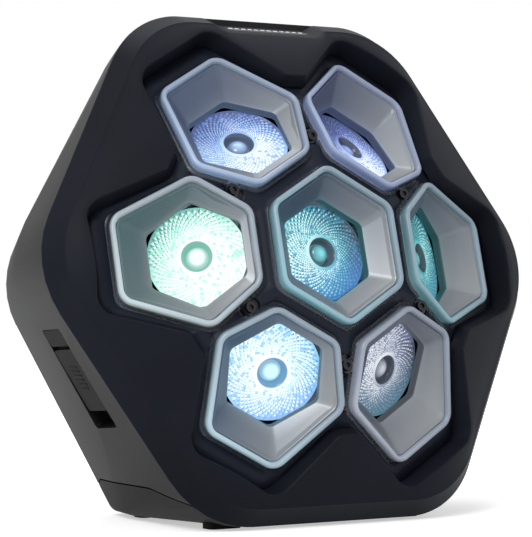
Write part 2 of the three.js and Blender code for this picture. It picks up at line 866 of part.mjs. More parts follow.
function shellBody() {
  const front = seamLevel - seatGap;
  const outside = housingVolume(0, front);
  const floorCut = cradleSpace(housingWall);
  const hollow = cut(housingVolume(housingWall, seamLevel + overrun), floorCut);
  const seamSide = solid(slab(
    4 * faceApothem, 4 * faceApothem, 4 * faceApothem, 0, 0, front - 2 * faceApothem,
  ).applyMatrix4(leanTurn));
  const wallMiddle = housingReach - housingWall / 2;
  const columns = columnSpots().map(({ x, z }) => solid(rodY(columnRadius, 0, wallMiddle, x, z)));
  const standoffs = standoffSpots().map(({ x, z }) => (
    solid(rodY(standoffRadius, boardFace + seatGap, wallMiddle, x, z, screwSides))
  ));
  const frame = panelSolid(panelLedge, ledgeBack, wallMiddle);
  const bay = bayBlock(housingWall, -bayDepth - housingWall, housingWall).intersect(outside);
  const scoopBlock = scoopSolid(housingWall, -scoopDepth - housingWall).intersect(outside);
  const walls = add(outside.subtract(hollow), frame, bay, scoopBlock, ...standoffs);
  const withColumns = add(walls, ...columns.map((column) => column.intersect(outside)));
  const heads = columnSpots().map(({ x, z }) => (
    solid(rodY(screwHeadRadius + slideGap, screwSeat, housingReach + overrun, x, z))
  ));
  const bores = columnSpots().map(({ x, z }) => (
    solid(rodY(postBoreRadius, screwSeat - screwLength, screwSeat + overrun / 2, x, z, screwSides))
  ));
  const body = cut(
    withColumns.intersect(seamSide),
    cradleSpace(0),
    panelSolid(seatGap, panelBack, housingReach + overrun),
    panelSolid(-panelLedge, ledgeBack - overrun, panelBack + overrun),
    ...vents(),
    ...heads,
    ...bores,
    bayBlock(0, -bayDepth, 2 * overrun),
    scoopSolid(0, -scoopDepth),
    portTunnel(),
  );
  return body;
}

function cradleBody() {
  const front = seamLevel - seatGap;
  const outside = housingVolume(0, front).intersect(cradleSpace(-cradleGap));
  const hollow = housingVolume(cradleWall, front - cradleWall)
    .intersect(cradleSpace(overrun).translate([0, 0, cradleWall]));
  const inside = hollow.intersect(cradleSpace(-cradleGap - cradleWall).translate([0, 0, cradleWall * 2]));
  const pockets = padSpots().map(({ x, y }) => (
    solid(slab(
      padLength + 2 * seatGap, padWidth + 2 * seatGap, 2 * (padSeat + seatGap), x, y, floorLine,
    ))
  ));
  return cut(outside.subtract(inside), ...pockets);
}

function padSpots() {
  return [-padSpread, padSpread].flatMap((x) => [padFrontReach, padRearReach].map((y) => ({ x, y })));
}

function padGeometry() {
  const outline = roundOutline(rectangle(padLength, padWidth, padWidth / 4), smallSteps);
  return prism(outline, -padProud, padSeat);
}

// Port bay: its own frame on the lower left facet, X down along the seam, Z out of the facet
function bayFrame() {
  const seam = hexagon(seamApothem / Math.cos(halfSector), 0, 0);
  const shoulder = hexagon(shoulderApothem / Math.cos(halfSector), 0, 0);
  const shoulderLevel = floorLine + shoulderApothem;
  const seamEnds = [seam[3], seam[4]].map((corner) => upright(corner.x, corner.y, seamLevel));
  const rearEnds = [shoulder[3], shoulder[4]].map((corner) => (
    new THREE.Vector3(corner.x, shoulderReach, corner.y + shoulderLevel)
  ));
  const seamPoint = seamEnds[0].clone().lerp(seamEnds[1], bayAlongShare);
  const rearPoint = rearEnds[0].clone().lerp(rearEnds[1], bayAlongShare);
  const back = rearPoint.clone().sub(seamPoint).normalize();
  const origin = seamPoint.addScaledVector(back, bayAcross);
  const down = seamEnds[1].clone().sub(seamEnds[0]).normalize()
    .add(rearEnds[1].clone().sub(rearEnds[0]).normalize())
    .normalize();
  const out = back.clone().cross(down).normalize();
  const outward = out.x < 0 ? out : out.negate();
  const across = outward.clone().cross(down).normalize();
  return new THREE.Matrix4().makeBasis(down, across, outward).setPosition(origin);
}

const bayPlace = bayFrame();

function bayBlock(grow, low, high) {
  const outline = roundOutline(
    rectangle(bayLength + 2 * grow, bayWidth + 2 * grow, bayCornerRadius + grow), smallSteps,
  );
  return solid(prism(outline, low, high).applyMatrix4(bayPlace));
}

function scoopSolid(grow, low) {
  const depth = scoopLength + 2 * grow;
  const outline = roundOutline(rectangle(depth, bayWidth + 2 * grow, bayCornerRadius + grow), smallSteps);
  const centre = (bayLength - scoopLength) / 2;
  return solid(prism(outline, low, 0).translate(centre, 0, 0).applyMatrix4(bayPlace));
}

const flapStart = -bayLength / 2 + anchorLength + grooveLength;
const flapEnd = bayLength / 2 - scoopLength;
const portCentre = (flapStart + flapEnd) / 2;

function portOutline(grow) {
  return roundOutline(
    rectangle(portHeight + 2 * grow, portWidth + 2 * grow, portHeight / 2 + grow), smallSteps,
  );
}

function portTunnel() {
  const hole = prism(portOutline(plugDepth / 2 + seatGap), -bayDepth - housingWall - overrun, 0);
  return solid(hole.translate(portCentre, 0, 0).applyMatrix4(bayPlace));
}

function portBody() {
  const top = -bayDepth - portSetback;
  const can = solid(prism(portOutline(0), top - portLength, top));
  const mouth = solid(prism(portOutline(-portWall), top - portLength + portWall, top + overrun));
  const tongue = solid(slab(portWall, portWidth / 2, portLength - 2 * portWall, 0, 0, top - portLength / 2));
  return cut(can, mouth).add(tongue);
}

// The fixed end of the flap, with the thin web that carries the flap across the groove
function anchorBody() {
  const width = bayWidth - 2 * slideGap;
  const outline = roundOutline(rectangle(anchorLength - slideGap, width, bayCornerRadius), smallSteps);
  const floor = -bayDepth + seatGap;
  const plate = solid(prism(outline, floor, 0).translate((-bayLength + anchorLength + slideGap) / 2, 0, 0));
  const webStart = -bayLength / 2 + anchorLength / 2;
  const webEnd = flapStart - seatGap;
  const web = slab(
    webEnd - webStart, width - 2 * bayCornerRadius, flapWeb, (webStart + webEnd) / 2, 0, floor + flapWeb / 2,
  );
  return plate.add(solid(web));
}

// The flap is drawn about its hinge line
function flapBody() {
  const length = flapEnd - flapStart;
  const outline = roundOutline(rectangle(length, bayWidth - 2 * slideGap, bayCornerRadius), smallSteps);
  const leaf = solid(prism(outline, -bayDepth + seatGap, 0).translate(length / 2, 0, 0));
  const plug = solid(prism(portOutline(-portWall), -bayDepth - plugDepth, -bayDepth / 2)
    .translate(portCentre - flapStart, 0, 0));
  return leaf.add(plug);
}

// Rear controls
const screwSeat = housingReach - screwHeadHeight - seatGap;
const buttonBack = panelBack - seatGap - buttonFlange;
const switchTop = buttonBack - buttonTravel - seatGap;
const boardFace = switchTop - switchHeight;
const buttons = ['power', 'color', 'pattern'].map((name, i) => ({ name, x: (1 - i) * buttonPitch }));

function panelBody() {
  const plate = panelSolid(0, panelBack + seatGap, housingReach);
  const holes = buttons.map(({ x }) => (
    solid(rodY(buttonRadius + slideGap, ledgeBack, housingReach + overrun, x, panelCentre, roundSides))
  ));
  return cut(plate, ...holes);
}

function buttonGeometry() {
  const top = housingReach + buttonProud;
  return new THREE.LatheGeometry([
    [0, buttonBack],
    [buttonRadius + buttonFlange + slideGap, buttonBack],
    [buttonRadius + buttonFlange + slideGap, buttonBack + buttonFlange],
    [buttonRadius, buttonBack + buttonFlange],
    [buttonRadius, top - buttonFlange / 2],
    [buttonRadius - buttonFlange / 2, top],
    [0, top],
  ].map(([radius, height]) => new THREE.Vector2(radius, height)), lensSides);
}

function controlBoardBody() {
  const board = solid(slab(
    controlBoardWidth, circuitThickness, controlBoardHeight, 0, boardFace - circuitThickness / 2, panelCentre,
  ));
  const switches = buttons.map(({ x }) => solid(slab(
    switchSize, switchHeight * 2, switchSize, x, switchTop - switchHeight, panelCentre,
  )));
  return add(board, ...switches);
}

// Four cells side by side on the floor of the housing, joined by a strap across each end
function batteryBody() {
  const rear = boardFace - circuitThickness - 2 * batteryCapLength;
  const front = rear - batteryCellLength;
  const level = floorLine + cradleHeight + housingWall + seatGap + batteryCellRadius;
  const pitch = 2 * batteryCellRadius - batteryWrap;
  const rods = Array.from({ length: batteryCellCount }, (_, i) => (
    solid(rodY(batteryCellRadius, front, rear, (i - (batteryCellCount - 1) / 2) * pitch, level, lensSides))
  ));
  const straps = [front, rear].map((y) => solid(slab(
    pitch * (batteryCellCount - 1) + batteryCellRadius, batteryCapLength, batteryCellRadius, 0, y, level,
  )));
  return add(rods[0], ...rods.slice(1), ...straps);
}

// Assembly
const light = new THREE.Group();
const face = new THREE.Group();
face.rotation.x = Math.PI / 2 - faceLean;
light.add(face);

named('front_bezel', bodyOf(bezelBody()), finish.bezel, face);
named('top_strip', stripPlace(stripBody(0, -stripThickness, 0), 0), finish.strip, face);
named('front_cover', bodyOf(coverBody()), finish.clear, face);
named('chassis_panel', bodyOf(chassisBody()), finish.chassis, face);
named('heat_sink', bodyOf(sinkBody()), finish.metal, face);

const wells = new Map([centreCell, outerCell].map((cell) => [cell, wellGeometry(cell)]));
const lens = lensGeometry();
const board = boardGeometry();
cells.forEach(({ name, cell, turn }) => {
  const spot = new THREE.Group();
  spot.rotation.z = turn;
  face.add(spot);
  named(`reflector_${name}`, wells.get(cell), finish.reflector, spot);
  const source = new THREE.Group();
  source.position.copy(cell.aperture.origin);
  source.rotation.y = cell.aperture.tilt;
  spot.add(source);
  named(`lens_${name}`, lens, finish.lens, source).position.z = -apertureWall;
  named(`led_board_${name}`, board, finish.board, source).position.z = -boardDepth;
});

const screw = bodyOf(screwBody());
posts().forEach(({ x, y, level }, i) => {
  named(`cover_screw_${i + 1}`, screw, finish.metal, face).position.set(x, y, level + bossRise);
});

named('rear_shell', bodyOf(shellBody()), finish.shell, light);
named('base_cradle', bodyOf(cradleBody()), finish.cradle, light);
padSpots().forEach(({ x, y }) => {
  const name = `foot_pad_${y === padFrontReach ? 'front' : 'rear'}_${x < 0 ? 'left' : 'right'}`;
  named(name, padGeometry(), finish.rubber, light).position.set(x, y, floorLine);
});

named('control_panel', bodyOf(panelBody()), finish.cradle, light);
named('control_board', bodyOf(controlBoardBody()), finish.circuit, light);
const cap = buttonGeometry();
buttons.forEach(({ name, x }) => {
  named(`${name}_button`, cap, finish.rubber, light).position.set(x, 0, panelCentre);
});
named('battery_pack', bodyOf(batteryBody()), finish.battery, light);

columnSpots().forEach(({ x, z }, i) => {
  const housingScrew = named(`housing_screw_${i + 1}`, screw, finish.metal, light);
  housingScrew.position.set(x, screwSeat, z);
  housingScrew.rotation.x = -Math.PI / 2;
});

const bay = new THREE.Group();
bay.applyMatrix4(bayPlace);
light.add(bay);
named('usb_port', bodyOf(portBody()), finish.metal, bay).position.x = portCentre;
named('port_board', slab(
  portBoardWidth, portBoardLength, circuitThickness,
  portCentre, 0, -bayDepth - portSetback - portLength - seatGap - circuitThickness / 2,
), finish.circuit, bay);
named('flap_anchor', bodyOf(anchorBody()), finish.rubber, bay);
named('port_flap', bodyOf(flapBody()), finish.rubber, bay).position.x = flapStart;

// The origin is under the middle of the whole, on the surface that it stands on
const part = new THREE.Group();
part.add(light);
const box = new THREE.Box3().setFromObject(part, true);
light.position.set(0, -(box.min.y + box.max.y) / 2, -box.min.z);

export default part;
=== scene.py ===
"""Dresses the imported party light: finishes for every piece, a finer front, small marks, and the studio."""
import math
import random

import bpy
from mathutils import Matrix, Vector
from mathutils.geometry import delaunay_2d_cdt


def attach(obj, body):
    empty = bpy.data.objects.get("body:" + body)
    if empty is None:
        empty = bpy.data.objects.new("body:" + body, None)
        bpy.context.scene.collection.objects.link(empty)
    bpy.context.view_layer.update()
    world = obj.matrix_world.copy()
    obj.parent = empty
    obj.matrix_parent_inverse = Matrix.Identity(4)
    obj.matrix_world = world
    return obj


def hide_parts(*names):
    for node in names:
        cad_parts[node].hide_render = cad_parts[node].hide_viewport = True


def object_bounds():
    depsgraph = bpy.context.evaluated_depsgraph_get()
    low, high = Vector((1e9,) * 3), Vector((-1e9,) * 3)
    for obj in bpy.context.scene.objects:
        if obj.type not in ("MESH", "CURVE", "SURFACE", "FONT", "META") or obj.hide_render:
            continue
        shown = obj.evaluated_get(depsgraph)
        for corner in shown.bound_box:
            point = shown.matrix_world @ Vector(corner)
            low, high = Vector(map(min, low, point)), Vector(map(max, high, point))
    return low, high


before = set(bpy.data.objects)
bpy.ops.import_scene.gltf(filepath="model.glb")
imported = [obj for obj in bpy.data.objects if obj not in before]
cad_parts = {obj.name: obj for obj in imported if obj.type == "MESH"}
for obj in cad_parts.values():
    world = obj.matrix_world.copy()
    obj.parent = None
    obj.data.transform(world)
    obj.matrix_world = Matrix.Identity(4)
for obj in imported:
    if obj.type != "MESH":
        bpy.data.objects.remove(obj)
cad_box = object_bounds()

MM = 0.001
SECTOR = math.pi / 3

# The leaning front, in millimetres: X to the right, Y up the face, Z out of it
FACE_ORIGIN = Vector((0, -47.56, 124.61))
FACE_LEAN = math.radians(15)
FACE = (
    Matrix.Scale(MM, 4)
    @ Matrix.Translation(FACE_ORIGIN)
    @ Matrix.Rotation(math.pi / 2 - FACE_LEAN, 4, "X")
)

# Cells of the front, each with a rim, a reflector well and a lens
CELL_RADIUS = 37.5
CELL_GAP = 8.8
CELL_DROP = 2.25
CELL_CORNER = 8
CORNER_STEPS = 7
FLAT_REACH = CELL_RADIUS * math.cos(SECTOR / 2)
INNER_REACH = FLAT_REACH + CELL_GAP
RIM_TILT = math.radians(22.3)
RIM_SHARES = (
    (1.692, -0.505), (1.692, 0.505), (0.657, 0.924), (0, 0.451), (0, -0.451), (0.657, -0.924),
)
RIM_WIDTH = 2.6
RIM_HEIGHT = 5
WELL_WALL = 1.2
WELL_SETBACK = 2
SEAT_GAP = 0.3
LENS_TILT = math.radians(35)
APERTURE_RADIUS = 24.1
APERTURE_CORNER = 3.6
APERTURE_DEPTH = 10.6
APERTURE_REACH = 63
APERTURE_DROP = 19.6
APERTURE_WALL = 4

# The bezel's opening, which follows the six outer cells
RECESS_REACH = 111.5
RECESS_HALF = 23.6
RECESS_CORNER = 11
WEB_NOTCH_REACH = 83.04
WEB_NOTCH_HALF = 5.4
WEB_NOTCH_CORNER = 2.5


# Outlines: closed loops of corners (x, y, radius), counter-clockwise


def corner_sides(corners, i):
    """A corner, the side that comes to it and the side that leaves it."""
    here = Vector(corners[i][:2])
    before = here - Vector(corners[i - 1][:2])
    after = Vector(corners[(i + 1) % len(corners)][:2]) - here
    return here, before, after


def inset_outline(corners, inset):
    moved = []
    for i, (_, _, radius) in enumerate(corners):
        here, before, after = corner_sides(corners, i)
        a, b = before.normalized(), after.normalized()
        shift = inset / (1 + a.dot(b))
        turn = a.x * b.y - a.y * b.x
        x, y = here.x - (a.y + b.y) * shift, here.y + (a.x + b.x) * shift
        moved.append((x, y, max(radius - math.copysign(inset, turn), WELL_WALL)))
    return moved


def round_outline(corners, steps=CORNER_STEPS):
    """The outline's points, with an arc in place of each corner."""
    points = []
    for i, (_, _, radius) in enumerate(corners):
        here, before, after = corner_sides(corners, i)
        a, b = before.normalized(), after.normalized()
        turn = math.atan2(a.x * b.y - a.y * b.x, a.dot(b))
        spread = math.tan(abs(turn) / 2)
        run = min(radius * spread, before.length / 2, after.length / 2)
        radius = run / spread
        spin = math.copysign(1, turn)
        hub = here - a * run + Vector((-a.y, a.x)) * radius * spin
        start = math.atan2(-a.x * spin, a.y * spin)
        for step in range(steps + 1):
            angle = start + turn * step / steps
            points.append(hub + Vector((math.cos(angle), math.sin(angle))) * radius)
    return points


def hexagon(radius, corner):
    turns = [-SECTOR / 2 + i * SECTOR for i in range(6)]
    return [(radius * math.cos(turn), radius * math.sin(turn), corner) for turn in turns]


def circle(x, y, radius, sides=28):
    turns = [2 * math.pi * i / sides for i in range(sides)]
    return [Vector((x + radius * math.cos(turn), y + radius * math.sin(turn))) for turn in turns]


def recess_outline(inset):
    corners = []
    for i in range(6):
        for x, y, radius, turn in (
            (RECESS_REACH, -RECESS_HALF, RECESS_CORNER, i),
            (RECESS_REACH, RECESS_HALF, RECESS_CORNER, i),
            (WEB_NOTCH_REACH, -WEB_NOTCH_HALF, WEB_NOTCH_CORNER, i + 0.5),
            (WEB_NOTCH_REACH, WEB_NOTCH_HALF, WEB_NOTCH_CORNER, i + 0.5),
        ):
            c, s = math.cos(turn * SECTOR), math.sin(turn * SECTOR)
            corners.append((x * c - y * s, x * s + y * c, radius))
    return round_outline(inset_outline(corners, inset))


def dome_height(x, y):
    """Height of the crests over the face: flat in the middle, six planes falling away outside."""
    turn = round(math.atan2(y, x) / SECTOR) * SECTOR
    reach = x * math.cos(turn) + y * math.sin(turn)
    if reach <= FLAT_REACH:
        return 0
    if reach <= INNER_REACH:
        return -CELL_DROP * (reach - FLAT_REACH) / CELL_GAP
    return -CELL_DROP - (reach - INNER_REACH) * math.tan(RIM_TILT)


class Cell:
    """One window of the front: its rim's plane and its aperture's plane, turned round the face."""

    def __init__(self, name, turn=None):
        self.name = name
        self.turn = turn or 0
        if turn is None:
            self.rim_origin, self.rim_tilt = Vector((0, 0, 0)), 0
            self.aperture_origin, self.aperture_tilt = Vector((0, 0, -APERTURE_DEPTH)), 0
            self.corners = hexagon(CELL_RADIUS, CELL_CORNER)
        else:
            self.rim_origin, self.rim_tilt = Vector((INNER_REACH, 0, -CELL_DROP)), RIM_TILT
            self.aperture_origin = Vector((APERTURE_REACH, 0, -APERTURE_DROP))
            self.aperture_tilt = LENS_TILT
            self.corners = [(u * CELL_RADIUS, v * CELL_RADIUS, CELL_CORNER) for u, v in RIM_SHARES]

    def _ring(self, outline, origin, tilt, depth):
        spin = Matrix.Rotation(self.turn, 3, "Z")
        lean = Matrix.Rotation(tilt, 3, "Y")
        return [spin @ (origin + lean @ Vector((p.x, p.y, -depth))) for p in outline]

    def rim(self, inset, depth):
        outline = round_outline(inset_outline(self.corners, inset))
        return self._ring(outline, self.rim_origin, self.rim_tilt, depth)

    def aperture(self, radius, depth):
        outline = round_outline(hexagon(radius, APERTURE_CORNER))
        return self._ring(outline, self.aperture_origin, self.aperture_tilt, depth)

    def lens_place(self):
        spin = Matrix.Rotation(self.turn, 4, "Z")
        lean = Matrix.Rotation(self.aperture_tilt, 4, "Y")
        sunk = Matrix.Translation((0, 0, -APERTURE_WALL))
        return spin @ Matrix.Translation(self.aperture_origin) @ lean @ sunk


AROUND = ("right", "upper_right", "upper_left", "left", "lower_left", "lower_right")
CELLS = [Cell("center")] + [Cell(name, i * SECTOR) for i, name in enumerate(AROUND)]


# Materials

BLACK = (0.0, 0.0, 0.0)
GREY = (0.5, 0.5, 0.5)
WHITE = (1.0, 1.0, 1.0)


class Shade:
    """A node's socket that takes part in arithmetic."""

    def __init__(self, nodes, socket):
        self.nodes = nodes
        self.socket = socket

    def _math(self, operation, *values):
        return self.nodes.node("ShaderNodeMath", {"operation": operation}, *values)

    def __add__(self, other):
        return self._math("ADD", self, other)

    def __sub__(self, other):
        return self._math("SUBTRACT", self, other)

    def __rsub__(self, other):
        return self._math("SUBTRACT", other, self)

    def __mul__(self, other):
        return self._math("MULTIPLY", self, other)

    def __pow__(self, other):
        return self._math("POWER", self, other)

    __radd__ = __add__
    __rmul__ = __mul__

    def clamp(self):
        return self._math("MAXIMUM", self._math("MINIMUM", self, 1.0), 0.0)

    def step(self, low, high):
        """0 below low and 1 above high, with a soft ramp between."""
        settings = {"interpolation_type": "SMOOTHSTEP"}
        return self.nodes.node("ShaderNodeMapRange", settings, self, low, high, 0.0, 1.0)


class Nodes:
    """A node tree whose nodes all come from one method."""

    def __init__(self, tree):
        self.tree = tree

    def feed(self, socket, value):
        if isinstance(value, Shade):
            self.tree.links.new(value.socket, socket)
        elif isinstance(value, tuple) and len(value) == 3 and socket.type == "RGBA":
            socket.default_value = (*value, 1.0)
        else:
            socket.default_value = value

    def node(self, kind, settings, *values, output=None, **named):
        """Adds a node, sets it and feeds its sockets; gives the named output, or the first in use."""
        made = self.tree.nodes.new(kind)
        for key, value in settings.items():
            if key == "stops":
                ramp = made.color_ramp
                while len(ramp.elements) < len(value):
                    ramp.elements.new(0.5)
                for element, (position, color) in zip(ramp.elements, value):
                    element.position = position
                    element.color = (*color, 1.0)
            else:
                setattr(made, key, value)
        for socket, value in zip([s for s in made.inputs if s.enabled], values):
            self.feed(socket, value)
        for key, value in named.items():
            self.feed(made.inputs[key], value)
        if output:
            return Shade(self, made.outputs[output])
        outputs = [s for s in made.outputs if s.enabled]
        return Shade(self, outputs[0]) if outputs else None

    def seen(self):
        """1 where the camera, a reflection or a view through clear plastic looks, 0 for falling light."""
        kinds = ("Is Camera Ray", "Is Glossy Ray", "Is Transmission Ray")
        camera, glossy, through = [self.node("ShaderNodeLightPath", {}, output=kind) for kind in kinds]
        return (camera + glossy + through).clamp()


class Look(Nodes):
    """A material with one Principled shader, built from named values."""

    def __init__(self, name, color, roughness, metallic=0.0, shine=0.5):
        self.material = bpy.data.materials.new(name)
        self.material.use_nodes = True
        super().__init__(self.material.node_tree)
        self.shader = self.tree.nodes["Principled BSDF"]
        self.set("Base Color", color)
        self.set("Roughness", roughness)
        self.set("Metallic", metallic)
        self.set("Specular IOR Level", shine)

    def set(self, socket, value):
        self.feed(self.shader.inputs[socket], value)
        return self

    def mix(self, factor, a, b):
        return self.node("ShaderNodeMix", {"data_type": "RGBA"}, factor, a, b)

    def place(self):
        return self.node("ShaderNodeTexCoord", {}, output="Object")

    def noise(self, scale, detail=2.0):
        return self.node("ShaderNodeTexNoise", {}, Vector=self.place(), Scale=scale, Detail=detail)

    def attribute(self, name):
        return self.node("ShaderNodeAttribute", {"attribute_name": name}, output="Fac")

    def bump(self, height, distance):
        bumped = self.node("ShaderNodeBump", {}, Height=height, Distance=distance, Strength=1.0)
        return self.set("Normal", bumped)


def tinted(color, share):
    return tuple(min(c * share, 1.0) for c in color)


GRAIN = 1600.0
GRAIN_DEPTH = 0.00004
COLOR_DRIFT = 14.0
COLOR_BAND = (0.35, 0.65)
WIDE_BAND = (0.3, 0.7)
LIGHTER, DARKER = 1.22, 0.86
ROUGHNESS_DRIFT = 0.08


def moulded(name, color, roughness, grain=GRAIN, depth=GRAIN_DEPTH, sheen=0.35):
    """Moulded plastic or rubber: fine spark-eroded grain, slow roughness and colour drift."""
    look = Look(name, color, roughness, shine=sheen)
    drift = look.noise(COLOR_DRIFT, 3.0)
    fine = look.noise(grain)
    band = drift.step(*COLOR_BAND)
    look.set("Base Color", look.mix(band, tinted(color, DARKER), tinted(color, LIGHTER)))
    smooth = roughness - ROUGHNESS_DRIFT
    look.set("Roughness", drift * ROUGHNESS_DRIFT + (fine * ROUGHNESS_DRIFT + smooth))
    return look.bump(fine, depth)


STREAK = 420.0
STREAK_DARKER = 0.82
STREAK_ROUGHNESS = 0.2
STREAK_DEPTH = 0.00001


def brushed_metal(name, color, roughness):
    """Bare or plated metal with short streaks in colour, roughness and height."""
    look = Look(name, color, roughness, 1.0)
    streak = look.noise(STREAK, 3.0)
    look.set("Base Color", look.mix(streak, tinted(color, STREAK_DARKER), color))
    look.set("Roughness", streak * STREAK_ROUGHNESS + (roughness - STREAK_ROUGHNESS / 2))
    return look.bump(streak, STREAK_DEPTH)


# Reflector colours: two tones of painted shade, a painted lit tone, and the dark step at the lens
FILM_SHADED = (0.048, 0.06, 0.09), (0.06, 0.074, 0.106)
FILM_LIT = (0.26, 0.275, 0.29)
FILM_STEP = (0.03, 0.033, 0.042)
FILM_STEP_FROM = (0.93, 0.97)
FILM_DRIFT = 35.0
FILM_ROUGHNESS = 0.36
# Painted light on the reflector: strength of its painted glow, falloff of the painted lit side, share of
# painted light on the shaded side, and falloff of the painted spill from the lens
FILM_GLOW = 0.14
LIT_FALL = 1.4
CAST_SHARE = 0.6
SPILL_FALL = 7.0


def reflector_look(name, glow, cast):
    """Metallised satin plastic with painted light: a lighter painted lit side and a darker painted shaded
    side, set by each facet's direction, and a painted glow near the lens and on the shaded side.
    """
    look = Look(name, (0.12, 0.14, 0.17), FILM_ROUGHNESS, 0.3, shine=0.2)
    depth = look.attribute("depth")
    sheen = look.noise(FILM_DRIFT)
    # painted lit side: 1 on the side of the reflector that is painted as lit, 0 on the far side
    lit = look.attribute("lit")
    tone = look.mix(sheen.step(*WIDE_BAND), *FILM_SHADED)
    tone = look.mix(lit ** LIT_FALL, tone, FILM_LIT)
    look.set("Base Color", look.mix(depth.step(*FILM_STEP_FROM), tone, FILM_STEP))
    look.set("Roughness", sheen * ROUGHNESS_DRIFT + FILM_ROUGHNESS)
    # painted glow: the edge colour on the painted shaded side, and the lens's middle colour near the lens
    shaded = look.mix(((1.0 - lit) * CAST_SHARE).clamp(), BLACK, cast)
    look.set("Emission Color", look.mix((depth ** SPILL_FALL).clamp(), shaded, glow))
    return look.set("Emission Strength", FILM_GLOW)


# Shares of the lens's radius: where the dome in its pit and the pit itself end
DOME_EDGE = (0.2, 0.23)
PIT_EDGE = (0.3, 0.33)
LIGHT_STOPS = (0.0, 0.3, 0.62, 1.0)
LIGHT_REACH = 0.62
LIGHT_INWARD = 0.8
SPARKLE_SHARE = 0.9
FLECK_BAND = (0.8, 0.9)
FLECK_SHARE = 0.7
# Painted light on the lens's lower side, in its lower colour
LOW_BAND = (-0.8, 0.4)
LOW_SHARE = 0.8
DOME_COAT = 0.5
# Painted shade on the dome in the pit: its darker edge, and how it lightens towards the dome's middle
DOME_SHADOW = 0.12
DOME_BRIGHT_FROM, DOME_BRIGHT_GAIN = 0.5, 1.9
BALL_FALL, BALL_FALL_GAIN = 4.2, 10.0
# Base colour of the facets: painted shade on their dark sides, painted light on their bright sides
FACET_PAINTED_SHADE, FACET_PAINTED_LIGHT = (0.03, 0.04, 0.05), (0.12, 0.14, 0.17)


def lens_look(name, core, middle, edge, dark, low, side):
    """Clear collimator with the LEDs' light painted in as emission: each facet takes its own painted share
    of the light, with a painted bright side, painted shade in the pit and on the dome, and painted facet
    shading in the base colour.
    """
    right, up, along, level = side
    look = Look(name, (0.05, 0.06, 0.08), 0.1, shine=0.16)
    radius = look.attribute("radius")
    sparkle = look.attribute("sparkle")
    # direction of the painted bright side across the lens
    across = look.attribute("across") * right + look.attribute("rise") * up
    # painted shade: the dome in the pit, and the dark ring round it
    dome = 1.0 - radius.step(*DOME_EDGE)
    ring = radius.step(*DOME_EDGE) * (1.0 - radius.step(*PIT_EDGE))
    look.set("Coat Weight", dome * DOME_COAT)
    # painted light of the lens: brighter towards the middle, on the painted bright side and on each facet's
    # painted bright sides
    inward = (LIGHT_REACH - radius) * LIGHT_INWARD
    lit = inward + across * along + (sparkle - 0.5) * SPARKLE_SHARE + level
    stops = tuple(zip(LIGHT_STOPS, (dark, edge, middle, core)))
    tone = look.node("ShaderNodeValToRGB", {"stops": stops}, lit.clamp())
    fleck = look.attribute("hue").step(*FLECK_BAND) * FLECK_SHARE
    flecked = look.mix(fleck.clamp(), tone, edge)
    # painted light in the lower colour on the lens's lower, less bright side
    under = (1.0 - look.attribute("rise").step(*LOW_BAND)) * (1.0 - lit).clamp() * LOW_SHARE
    facets = look.mix(under.clamp(), flecked, low)
    # painted shade on the dome: darker at its edge, lighter towards its middle, and a painted dark ring in
    # the pit
    clear = DOME_SHADOW + max(level - DOME_BRIGHT_FROM, 0.0) * DOME_BRIGHT_GAIN
    shadow = tinted(edge, clear)
    towards_middle = (DOME_EDGE[1] - radius) * (BALL_FALL + BALL_FALL_GAIN * clear)
    ball = look.mix(towards_middle.clamp(), shadow, middle)
    look.set("Emission Color", look.mix(ring, look.mix(dome, facets, ball), shadow))
    look.set("Emission Strength", 1.0)
    return look.set("Base Color", look.mix(sparkle, FACET_PAINTED_SHADE, FACET_PAINTED_LIGHT))


PLASTIC_DRIFT = 90.0
SHEET_ALPHA = 0.97
SHEET_GRAZING = 1.5
SHEET_ROUGHNESS = 0.45
SHEET_ROUGHNESS_DRIFT = 0.06


def sheet_look(name):
    """Smoked clear plastic over a black ground: all but solid, more so at grazing angles."""
    look = Look(name, (0.01, 0.013, 0.022), SHEET_ROUGHNESS, shine=0.1)
    facing = look.node("ShaderNodeLayerWeight", {}, 0.4, output="Facing")
    look.set("Alpha", (facing ** SHEET_GRAZING * (1.0 - SHEET_ALPHA) + SHEET_ALPHA).clamp())
    smooth = SHEET_ROUGHNESS - SHEET_ROUGHNESS_DRIFT / 2
    return look.set("Roughness", look.noise(PLASTIC_DRIFT) * SHEET_ROUGHNESS_DRIFT + smooth)


# Rim colours: painted shade and painted light down the skirt, and the milky crest
SKIRT_SHADED, SKIRT_LIT = (0.012, 0.018, 0.035), (0.13, 0.14, 0.17)
CREST_MILKY = (0.24, 0.275, 0.34)
SKIRT_FALL = 3.0
SKIRT_ALPHA, CREST_ALPHA = 0.4, 0.9
RIM_SMOOTH = 0.2
# Share of the cell's light painted as a glow along the crest's painted lit side
RIM_GLOW = 0.38


def rim_look(name, light):
    """Clear moulded lip: milky along the crest, dark and see-through down the skirt, with a painted lit side
    and a painted glow from inside on that side.
    """
    look = Look(name, (0.4, 0.44, 0.52), 0.25, shine=0.35)
    crest = look.attribute("crest")
    lit = look.attribute("lit")
    # painted shade and painted light down the skirt
    skirt = look.mix((lit ** SKIRT_FALL).clamp(), SKIRT_SHADED, SKIRT_LIT)
    look.set("Base Color", look.mix(crest, skirt, CREST_MILKY))
    look.set("Alpha", crest * (CREST_ALPHA - SKIRT_ALPHA) + SKIRT_ALPHA)
    look.set("Roughness", look.noise(PLASTIC_DRIFT) * ROUGHNESS_DRIFT + RIM_SMOOTH)
    # painted glow on the painted lit side of the crest
    look.set("Emission Color", look.mix(crest * lit, BLACK, tinted(light, RIM_GLOW)))
    return look.set("Emission Strength", 1.0)


NAVY_DEEP, NAVY_LIGHT = (0.005, 0.006, 0.01), (0.008, 0.01, 0.017)
NAVY_DRIFT = 12.0
NAVY_ROUGHNESS = 0.3


